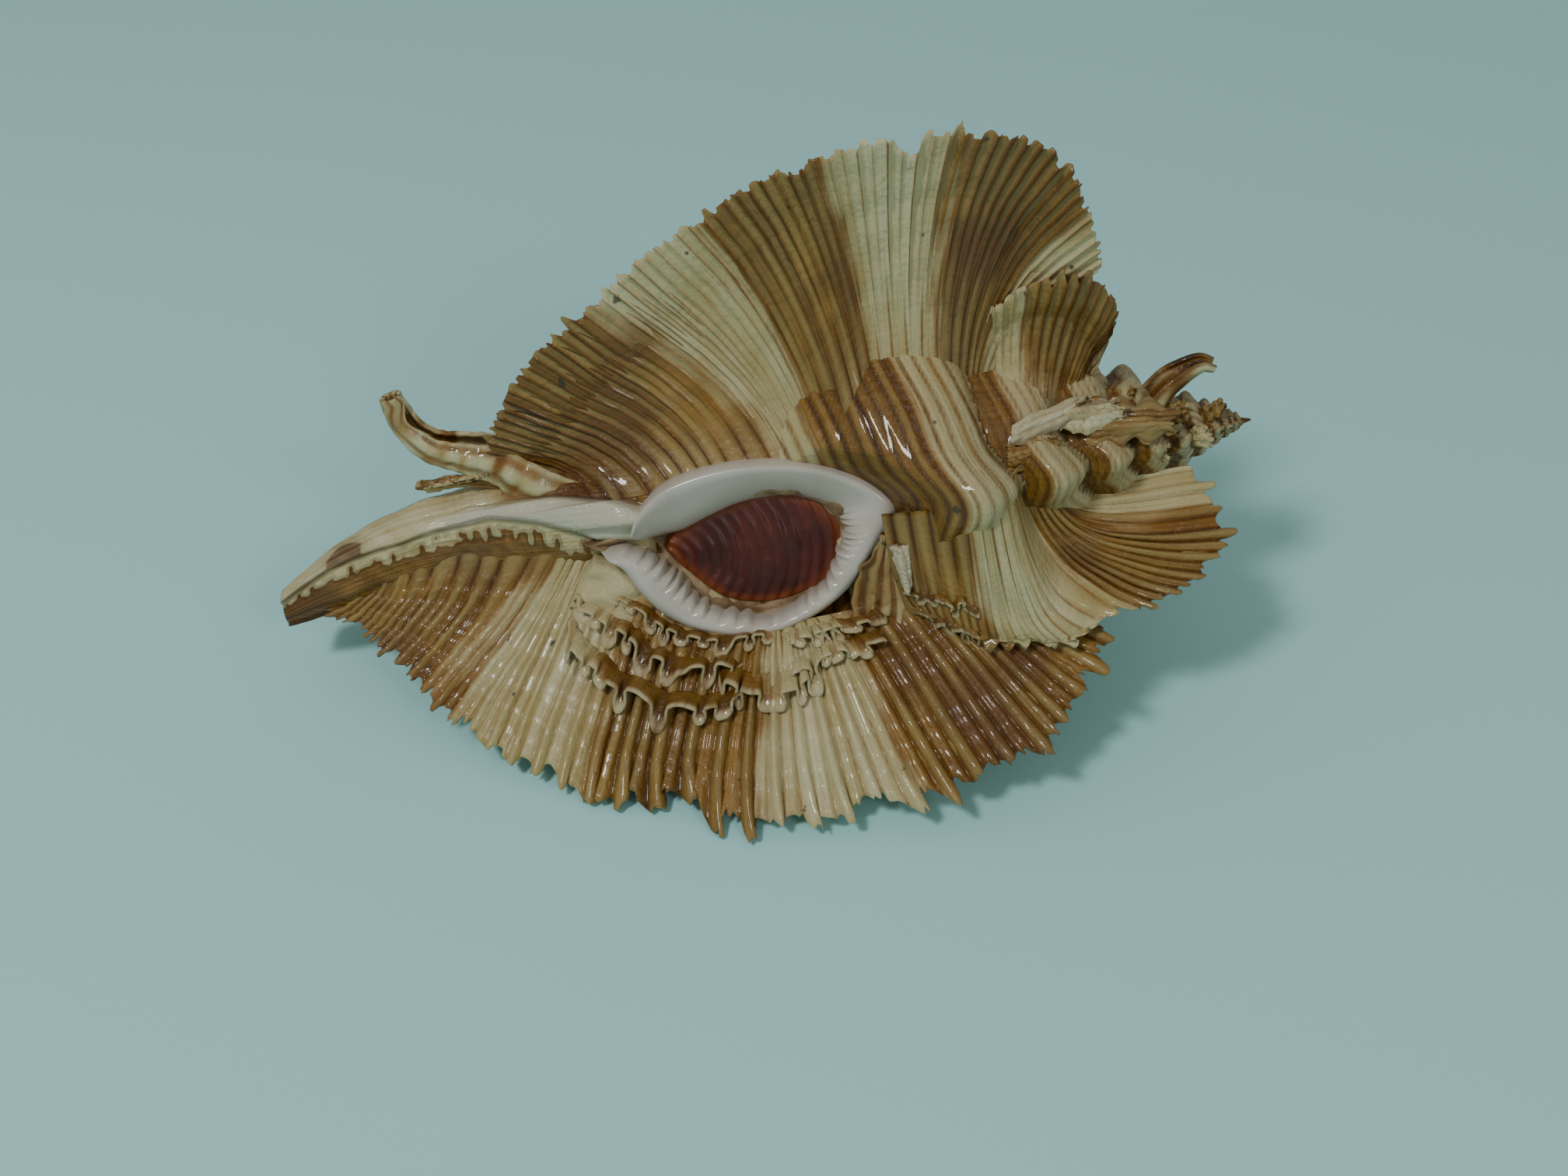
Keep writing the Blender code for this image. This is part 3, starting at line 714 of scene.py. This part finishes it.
RIGHT_FRONT = [
    (43, ON, 17), (46, ON, 18), (48, ON, 20), (50, ON, 25), (51.5, ON, 28), (53, ON, 23), (55, ON, 9),
    (58, ON, 0),
]
SMALL_LEFT_RAYS = [
    (52.4, 52.4, 11.4, 3.5), (54.0, 54.8, 14.2, 3.8), (55.8, 57.8, 15.0, 4.15), (57.2, 60.8, 14.4, 4.45),
    (58.2, 62.4, 11.4, 4.75), (58.8, 61.2, 7.4, 5.1),
]
SMALL_BACK_RAYS = [
    (50.0, 51.0, 14.6, 2.6), (52.0, 54.6, 16.0, 3.0), (54.4, 59.0, 15.0, 3.5), (56.4, 62.8, 12.0, 4.1),
    (57.6, 64.6, 8.4, 4.6), (58.4, 63.6, 4.8, 5.0),
]


def turned(azimuth):
    """A root line along the body at one azimuth."""
    return [(-10, ON, azimuth), (90, ON, azimuth)]


wing(
    "left_wing", LEFT_AT, LEFT_RAYS, LEFT_FRONT, turned(106),
    spacing=[1.6, 1.6, 1.7, 1.8, 2.0, 1.9, 2.1, 2.1, 1.9, 1.8],
    flute=[0.14, 0.2, 0.2, 0.22, 0.22, 0.25, 0.28, 0.28, 0.25], tooth=0.75, lean=-0.8, wave=0.45,
    stand=[0, 0, 0, 0.2, 0.52, 0.62, 0.62, 0.64, 0.68, 0.72, 0.75], fading=0.2, seed=2, columns=640,
)
wing(
    "lip_wing", LIP, LIP_RAYS, LIP_FRONT, turned(-54),
    spacing=[1.3, 1.4, 1.7, 2.0, 2.4, 2.4, 2.4, 2.5, 2.5, 2.4, 2.2],
    flute=[0.2, 0.25, 0.3, 0.5, 0.6, 0.5, 0.4, 0.4, 0.3],
    hook=[0, 0, 0.2, 0.3, 0.9, 1.4, 1.0, 0.7, 0.3, 0.1, 0.0], tooth=0.95, fine=0.5, ragged=2.8, jag=0.24,
    lean=-0.4, wave=0.3, fading=0.2, seed=5, columns=640,
)
wing(
    "back_wing", BACK_AT, BACK_RAYS, turned(-176), turned(-138), spacing=[2.0, 2.2],
    lean=-0.2, wave=0.4, seed=8, columns=440,
)
wing(
    "right_wing", RIGHT_AT, RIGHT_RAYS, RIGHT_FRONT, turned(-47), spacing=[1.0, 1.4, 2.2, 2.2, 2.0, 2.0],
    flute=[0.3, 0.25, 0.2, 0.3, 0.3, 0.2], hook=[0.8, 0.9, 0.4, 0, 0, 0], lean=0.6, wave=0.4, cap=1.0,
    fading=0.0, seed=11, columns=400,
)
wing(
    "small_left_wing", LEFT_AT, SMALL_LEFT_RAYS, turned(56), turned(108), spacing=[1.9],
    flute=[0.25], lean=-0.5, seed=14, columns=170, rows=26,
)
wing(
    "small_back_wing", BACK_AT, SMALL_BACK_RAYS, turned(-180), turned(-134), spacing=[2.0],
    lean=-0.5, seed=17, columns=170, rows=26,
)

# %% [markdown]
# The mouth: a porcelain rim, broad and smooth above and narrow and notched below. It is an open band
# that starts at the canal on the lower left, runs round the opening and ends above its own start, where
# the canal opens. Behind it come the dried tissue and the horny plate that closes the opening.


# %%
# Mouth
RIM = [
    (22.6, -1.3, 23.2, -0.8), (24.6, -2.9, 25.9, -2.1), (25.6, -4.8, 27.4, -3.5), (26.9, -6.6, 28.5, -4.9),
    (28.9, -8.1, 30.0, -6.85), (31.6, -9.1, 32.3, -7.85), (34.7, -9.3, 34.7, -8.25), (37.6, -8.6, 37.1, -7.5),
    (39.9, -7.4, 39.2, -6.35), (41.8, -5.8, 40.2, -4.8), (43.3, -4.1, 41.0, -3.6), (44.6, -2.4, 41.4, -2.6),
    (45.0, -1.0, 41.1, -1.7), (44.0, 0.3, 40.3, -1.0), (42.3, 1.6, 39.3, -0.3), (39.7, 2.8, 37.6, 0.4),
    (36.8, 3.4, 35.6, 0.6), (33.8, 3.6, 33.4, 0.4), (30.7, 3.3, 31.2, -0.2), (28.4, 2.6, 29.2, -0.9),
    (26.6, 1.2, 27.6, -1.2), (25.9, 0.0, 26.6, -1.35), (25.8, -0.8, 26.2, -1.4),
]
LOWER_SECTION = [
    (0.1, -4.5), (-0.05, -2.2), (0, -0.7), (0.3, 0.1), (0.7, 0.15), (1.0, -0.45), (1.1, -1.6),
    (1.05, -3.0), (0.9, -4.4),
]
UPPER_SECTION = [
    (0.05, -4.5), (-0.06, -1.4), (0, -0.1), (0.12, 0.3), (0.42, -0.35), (0.8, -1.5), (1.0, -2.5),
    (1.1, -3.7), (0.9, -5.0),
]
BEADS = 52  # over the whole rim; they show on its lower side
LID = [
    (28.1, -1.7), (29.8, -0.6), (32.0, 0.0), (34.1, 0.4), (36.2, 0.6), (38.2, 0.2), (39.8, -0.8),
    (40.7, -2.2), (40.6, -4.2), (40.0, -5.6), (38.7, -6.7), (36.8, -7.3), (34.9, -7.5), (32.8, -7.2),
    (31.1, -6.4), (29.6, -4.9), (28.5, -3.7), (27.9, -2.6), (28.1, -1.7),
]
SLIT = [
    (22.0, -1.0), (24.5, -0.6), (28.5, 0.6), (34.0, 1.6), (39.5, 0.8), (42.2, -1.8), (42.0, -4.6),
    (39.8, -7.4), (35.0, -8.8), (30.4, -7.9), (27.2, -5.2), (24.8, -2.6), (22.0, -1.0),
]
CALLUS = [
    (22.4, -2.0), (24.2, -2.8), (25.6, -4.2), (26.4, -6.2), (26.0, -8.8), (24.4, -10.4), (22.2, -10.3),
    (20.4, -8.8), (19.8, -6.4), (20.7, -4.0), (22.4, -2.0),
]


def mouth_point(u, t, height):
    """A point u along the axis, t across the opening and a height out of it."""
    azimuth = np.float64(MOUTH)
    points = np.asarray(t)[..., None] * around(azimuth) + np.asarray(height)[..., None] * outward(azimuth)
    points[..., 0] = u
    return points


def make_rim():
    """A section of (share from outer to inner edge, height) carried round the rim's two edges. RIM holds
    the outer (u, t) and the inner (u, t), and x runs from 0 to 1 along it: the lower side comes first."""
    x, s = np.linspace(0, 1, 560), np.linspace(0, 1, 36)
    edges = curve(RIM, x)
    outer, inner = edges[:, None, :2], edges[:, None, 2:]
    lower = (step(0.0, 0.05, x) * step(0.60, 0.46, x))[:, None, None]
    section = lower * curve(LOWER_SECTION, s) + (1 - lower) * curve(UPPER_SECTION, s)
    share, height, lower = section[..., 0], section[..., 1], lower[..., 0]
    size = 0.8 + 0.35 * waves(x * 60, 0, 3)[:, None]
    bead = lower * size * np.abs(np.sin(np.pi * BEADS * (x + 0.004 * np.sin(40 * x))))[:, None] ** 0.8
    near = hump(share, 1.0, 0.30)
    share = share + (0.20 * bead - 0.06 * lower) * near
    height = height + (0.17 * bead - 0.08 * lower) * near + 0.05 * waves(x[:, None] * 30, s[None] * 4, 6)
    height = height - 2.5 * step(0.03, 0.0, x)[:, None] - 1.2 * step(0.97, 1.0, x)[:, None]
    u, t = np.moveaxis(outer + (inner - outer) * share[..., None], -1, 0)
    return shell_piece("mouth_rim", mouth_point(u, t, MOUTH_HEIGHT + height), PORCELAIN)


def plate(name, slot, material, outline, centre, levels, nucleus, bumps, arcs=0.0, seed=1, **marks):
    """Shrunken copies of an outline stacked on each other: levels are (share of the width, height).
    Growth is counted from the nucleus, and arcs is the height of the steps it leaves."""
    line = curve(outline, np.arange(160) / 160)
    share, height = (x[:, None] for x in curve(levels, np.linspace(0, 1, 44)).T)
    u = centre[0] + (line[None, :, 0] - centre[0]) * share
    t = centre[1] + (line[None, :, 1] - centre[1]) * share
    grown = np.hypot(u - nucleus[0], (t - nucleus[1]) * 1.15)
    height = height + bumps * waves(u * 1.3, t * 1.3, seed)
    height = height + arcs * np.sin(grown * 5.2) * step(1.0, 0.8, share)
    made = solid(name, mouth_point(u, t, MOUTH_HEIGHT + height), material, growth=grown, out=share, **marks)
    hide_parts(slot)


make_rim()
plate(
    "tissue_ring", "shell", TISSUE, SLIT, centre=(34.0, -3.4),
    levels=[(0.1, -5.8), (1.0, -5.8), (1.0, -1.7), (0.86, -2.0), (0.74, -3.3), (0.1, -4.4)],
    nucleus=(34, -3), bumps=0.14, seed=4,
)
plate(
    "operculum_plate", "operculum", HORN, LID, centre=(34.6, -3.4),
    levels=[(0.1, -3.7), (0.95, -3.6), (1.0, -3.2), (0.95, -2.9), (0.6, -2.75), (0.1, -2.6)],
    nucleus=(27.6, -3.2), bumps=0.08, arcs=0.014, seed=6,
)
plate(
    "callus", "shell", SHELL, CALLUS, centre=(23.3, -5.8),
    levels=[(0.1, -6.5), (0.9, -6.0), (1.0, -3.4), (0.88, -1.7), (0.5, -1.1), (0.1, -0.9)],
    nucleus=(26, -3), bumps=0.26, seed=9, band=1.45, rib=0.45, tone=0.0, pale=0.55, white=0.12,
)

# %% [markdown]
# Frills stand on the lip wing in overlapping rows: each is the edge of an earlier, shorter lip, folded
# into gutters that end in pale tongues. They are built on the wing's own rays, so that their colour
# continues the wing's bands.


# %%
# Frills
def frill(name, host, first, last, base, height, reach, depth, gutter, seed, columns=330):
    """A sheet that leaves the host wing, between two shares of its margin, at the share base of its rays.
    It stands height off and reach out, with gutters that are gutter mm wide and depth deep."""
    x, w = np.linspace(0, 1, columns), np.linspace(0, 1, 15)
    foot, knee, edge, band, length = rays_at(t=first + (last - first) * x, **host)
    r = np.random.default_rng(seed)
    lane = length * (last - first) * x / gutter * 0.75 + 0.3 * np.sin(9 * x + seed) + 0.12 * np.sin(31 * x)
    size = r.uniform(0.45, 1.25, int(lane.max()) + 3)[np.round(lane).astype(int) + 1][:, None]
    middle = (0.5 + 0.5 * np.cos(2 * np.pi * lane))[:, None]
    v = (spread(base, x) + 0.02 * waves(x * 12, 0, seed))[:, None, None]
    start = along(foot, knee, edge, v)
    ray = along(foot, knee, edge, v + 0.05) - start
    ray /= np.linalg.norm(ray, axis=2, keepdims=True)
    side = np.gradient(start[:, 0], axis=0)[:, None]
    side /= np.linalg.norm(side, axis=2, keepdims=True)
    up = around(np.float64(host["azimuth"]))
    ends = (step(0, 0.05, x) * step(1, 0.95, x))[:, None]
    stand = height * np.sin(0.5 * np.pi * w) * (0.8 + 0.2 * size)
    lift = 0.8 * ends * (stand - depth * middle * size * w)
    out = 1.4 * reach * w**1.2 + (1.05 * depth * middle**1.6 * size - 0.4 * depth) * w**2
    across = 0.22 * np.sin(4 * np.pi * lane)[:, None] * w**1.5
    sheet = start + lift[..., None] * up + (ends * out)[..., None] * ray + across[..., None] * side
    shape = sheet.shape[:2]
    rim = step(0.72, 0.92, w)[None] * (0.85 + 0.35 * waves(x * 90, 0, seed)[:, None])
    # The middle of each gutter is marked as a groove, which the shell material darkens: painted shade in the
    # hollow of the fold, over its own brown.
    rib = (0.45 - 0.6 * middle) * (1 - rim) + 0.7 * rim
    return shell_piece(
        name, two_sided(sheet, 0.34 - 0.14 * w), SHELL, ends="strip", band=band[:, None],
        rib=both(rib, shape), tone=both(0.6 - 1.3 * w, shape), growth=both(w * 3, shape),
        pale=both(0.95 * rim.clip(0, 1), shape), white=both(0.25 * rim.clip(0, 1), shape),
    )


ON_LIP = dict(azimuth=LIP, rays=LIP_RAYS, root=LIP_FRONT)
ON_RIGHT = dict(azimuth=RIGHT_AT, rays=RIGHT_RAYS, root=RIGHT_FRONT, cap=1.0)
FRILLS = [  # name, host, first, last, base, height, reach, depth, gutter, seed
    ("frill_1", ON_LIP, 0.30, 0.58, [0.18, 0.24, 0.24, 0.16], 1.4, 0.8, 0.9, 1.5, 21),
    ("frill_2", ON_LIP, 0.28, 0.52, [0.36, 0.43, 0.42], 1.7, 1.2, 1.3, 1.7, 22),
    ("frill_3", ON_LIP, 0.29, 0.53, [0.52, 0.60, 0.63, 0.57], 1.9, 1.5, 1.5, 1.9, 23),
    ("frill_4", ON_LIP, 0.49, 0.66, [0.46, 0.52, 0.44], 1.6, 1.7, 1.3, 2.2, 24),
    ("frill_5", ON_LIP, 0.60, 0.80, [0.20, 0.18, 0.16], 1.6, 1.1, 1.1, 1.6, 27),
    ("frill_6", ON_LIP, 0.61, 0.78, [0.44, 0.38, 0.34], 1.6, 1.3, 1.2, 1.7, 28),
    ("column_frill_1", ON_RIGHT, 0.0, 0.16, [0.42, 0.50], 1.2, 0.9, 0.8, 1.2, 25, 160),
    ("column_frill_2", ON_RIGHT, 0.0, 0.18, [0.66, 0.72], 1.3, 1.2, 1.0, 1.4, 26, 160),
]
for row in FRILLS:
    frill(*row)

# %% [markdown]
# Broken ends of earlier canals and lips: a hollow spur beside the canal, and scales and flakes among
# the last whorls.


# %%
# Spur and scales
SCALE_THICK = 0.35
GRAIN = 0.10


def gutter_tube(name, path, opening, band, seed):
    """A tube along a path of (u, r, azimuth, radius), open in a slit `opening` degrees wide on top."""
    row = curve(path, np.linspace(0, 1, 90))
    centre = place(row[:, 0], row[:, 1], row[:, 2])
    along_it = np.gradient(centre, axis=0)
    along_it /= np.linalg.norm(along_it, axis=1, keepdims=True)
    beside = np.cross(along_it, outward(row[:, 2]))
    beside /= np.linalg.norm(beside, axis=1, keepdims=True)
    top = np.cross(beside, along_it)
    turn = np.radians(np.linspace(0.5 * opening, 360 - 0.5 * opening, 36))
    rough = 1 + 0.05 * np.cos(7 * turn + seed)[None] + 0.05 * waves(row[:, 0:1] * 2, turn[None] * 2, seed)
    ring = top[:, None] * np.cos(turn)[None, :, None] + beside[:, None] * np.sin(turn)[None, :, None]
    sheet = centre[:, None] + ring * (row[:, 3:4] * rough)[..., None]
    shape = sheet.shape[:2]
    rib = 0.4 * np.cos(7 * turn + seed)[None]
    tone = waves(row[:, 0:1] * 1.5, turn[None], seed)
    return shell_piece(
        name, two_sided(sheet, SCALE_THICK), SHELL, ends="strip", band=band, rib=both(rib, shape),
        tone=both(tone, shape), growth=both(np.linspace(0, 8, len(row))[:, None], shape), pale=0.0, white=0.0,
    )


def flake(
    name, corners, band, bulge, seed, ribs=0.0, ragged=0.5, thick=SCALE_THICK, pale=0.0, white=0.0,
    columns=70, rows=38,
):
    """A curved chip between four corners (u, r, azimuth): the sum of the corners weighted by
    (1-x)(1-y), x(1-y), xy and (1-x)y. ribs is their number, or 0 for fine ones strewn by chance; ragged
    is the depth of the torn outline and bulge the height of the middle, in mm."""
    x, y = np.meshgrid(np.linspace(0, 1, columns), np.linspace(0, 1, rows), indexing="ij")
    edge = ragged * (waves(y[0] * 14, 0, seed) + 0.3 * np.sign(waves(y[0] * 50, 0, seed + 1)))
    a, b, c, d = (place(*corner) for corner in corners)
    points = ((1 - x) * (1 - y))[..., None] * a + (x * (1 - y))[..., None] * b + (x * y)[..., None] * c
    points = points + ((1 - x) * y)[..., None] * d
    long_way = (b + c - a - d) / np.linalg.norm(b + c - a - d)
    up = points.mean((0, 1)) * (0, 1, 1)
    up = up / np.linalg.norm(up)
    points = points + (edge[None] * step(0.6, 1.0, x))[..., None] * long_way
    side = ragged * 0.5 * waves(x[:, 0] * 16, 0, seed + 2)[:, None] * (step(0.7, 1, y) - step(0.3, 0, y))
    points = points + side[..., None] * (d - a) / np.linalg.norm(d - a)
    lift = bulge * np.sin(np.pi * y) ** 0.8 * (0.4 + 0.6 * x) + 0.15 * waves(x * 6, y * 9, seed + 3)
    points = points + lift[..., None] * up
    shape = points.shape[:2]
    if ribs:
        rib = np.cos(2 * np.pi * ribs * (y + 0.03 * np.sin(5 * x)))
    else:
        rib = 0.5 + 0.8 * waves(x * 1.5, y * 26, seed + 5)
    points = points + (GRAIN * (rib - 0.5 + 0.6 * waves(x * 22, y * 22, seed + 6)))[..., None] * up
    return shell_piece(
        name, two_sided(points, thick), SHELL, ends="strip", band=band, rib=both(rib, shape),
        tone=both(waves(x * 3, y * 14, seed + 4), shape), growth=both(x * 5, shape), pale=pale, white=white,
    )


OLD_CANAL = [
    (23, 2.4, 80, 1.5), (19, 4.2, 90, 2.0), (16.4, 6.0, 94, 1.7), (14.0, 6.9, 95, 1.4), (11.8, 7.7, 96, 1.15),
    (10.5, 9.2, 96, 0.95), (9.9, 10.8, 97, 0.85), (9.7, 12.3, 97, 0.7),
]
CURLED = [
    (63.6, 2.2, 92, 1.5), (65.2, 4.2, 92, 1.2), (66.8, 5.2, 93, 0.9), (68.2, 5.6, 94, 0.7),
    (69.2, 5.2, 94, 0.5),
]
gutter_tube("old_canal", OLD_CANAL, opening=60, band=1.06, seed=3)
flake(
    "spur_scale", [(15.6, 6.4, 78), (10.6, 5.2, 84), (10.2, 4.6, 90), (15.4, 4.4, 92)], 1.02,
    bulge=0.5, seed=5, ragged=0.3, thick=0.5,
)
gutter_tube("curled_scale", CURLED, opening=150, band=1.0, seed=6)
CHIPS = [  # name, band, bulge, seed, ribs, ragged, pale, white, and four corners
    ("chalk_ridge", 1.4, 0.7, 40, 0, 0.5, 0.5, 0.35,
     [(53.6, 8.2, 40), (58.4, 7.0, 52), (59.4, 6.8, 66), (54.0, 8.4, 50)]),
    ("chalk_ridge_2", 1.3, 0.6, 43, 0, 0.5, 0.4, 0.2,
     [(57.2, 7.0, 44), (61.4, 5.8, 46), (61.6, 5.8, 66), (57.6, 7.2, 60)]),
    ("tan_flake", 0.72, 0.9, 46, 0, 0.5, 0.1, 0.0,
     [(59.0, 6.0, 34), (65.2, 4.9, 32), (65.6, 4.9, 58), (59.6, 6.2, 66)]),
    ("brown_chip", 0.7, 0.5, 49, 0, 0.5, 0.0, 0.0,
     [(53.2, 8.4, 26), (56.4, 7.0, 30), (57.0, 7.2, 42), (53.4, 8.6, 40)]),
    ("lip_flap", 0.95, 0.5, 52, 4.5, 0.5, 0.2, 0.0,
     [(43.4, 8.0, 4), (40.6, 10.8, -26), (45.8, 12.0, -30), (46.0, 9.0, 2)]),
    ("white_tooth", 1.5, 0.5, 55, 0, 0.05, 0.6, 0.5,
     [(44.3, 9.4, 4), (44.9, 10.9, -12), (45.3, 11.0, -12), (45.5, 9.8, 4)]),
]
for name, band, bulge, seed, ribs, ragged, pale, white, corners in CHIPS:
    flake(name, corners, band, bulge, seed, ribs, ragged, pale=pale, white=white)
SPIRE_SCALES = [(62.6, 3.4, 80), (64.4, 2.7, 14), (66.0, 2.5, 60), (67.6, 2.0, 20), (69.0, 1.5, 70)]
for number, (u, r, azimuth) in enumerate(SPIRE_SCALES):
    corners = [
        (u - 0.6, r, azimuth - 16), (u + 0.5, r + 0.9, azimuth - 14),
        (u + 0.5, r + 0.9, azimuth + 14), (u - 0.6, r, azimuth + 16),
    ]
    band = 0.6 + 0.8 * (number % 2)
    flake(f"spire_scale_{number + 1}", corners, band, 0.3, 30 + number, ragged=0.2, columns=40, rows=40)

# %% [markdown]
# Camera and light: the photo was taken from 40 degrees up, about 14 cm away. A pale floor and broad soft
# lights stand in for the room.

# %%
# Camera
EYE = Vector((47.870, -113.537, 84.691)) * 0.001
RIGHT = Vector((0.98664, -0.02394, -0.16115))
UP = Vector((0.13867, 0.64260, 0.75355))
BACK = Vector((0.08552, -0.76582, 0.63734))
camera = bpy.data.objects.new("camera", bpy.data.cameras.new("camera"))
bpy.context.scene.collection.objects.link(camera)
axes = Matrix((RIGHT, UP, BACK)).transposed().to_4x4()
camera.matrix_world = REST @ Matrix.Translation(EYE) @ axes
camera.data.lens, camera.data.sensor_width = 43.2, 36.0
camera.data.clip_start = 0.005
bpy.context.scene.camera = camera


# %%
# Floor and lights
FLOOR_HALF = 1.5  # metres


def floor():
    m = Material("floor", Roughness=0.6)
    m.feed("Base Color", m.mix(m.noise(6.0), (0.46, 0.88, 0.87), (0.48, 0.91, 0.90)))
    mesh = bpy.data.meshes.new("floor")
    x = FLOOR_HALF
    mesh.from_pydata([(-x, -x, 0), (x, -x, 0), (x, x, 0), (-x, x, 0)], [], [(0, 1, 2, 3)])
    mesh.materials.append(m.made)
    obj = bpy.data.objects.new("floor", mesh)
    bpy.context.scene.collection.objects.link(obj)


def lamp(name, at, size, power):
    data = bpy.data.lights.new(name, "AREA")
    data.size, data.energy = size, power
    obj = bpy.data.objects.new(name, data)
    obj.location = at
    obj.rotation_euler = (Vector((0, 0, 0.015)) - Vector(at)).to_track_quat("-Z", "Y").to_euler()
    bpy.context.scene.collection.objects.link(obj)


floor()
lamp("window", (-0.20, -0.22, 0.42), 0.07, 0.98)
lamp("room", (0.25, -0.40, 0.35), 0.10, 0.32)
world = bpy.data.worlds.new("room")
world.use_nodes = True
world.node_tree.nodes["Background"].inputs[0].default_value = (0.81, 0.83, 0.80, 1.0)
world.node_tree.nodes["Background"].inputs[1].default_value = 0.33
bpy.context.scene.world = world
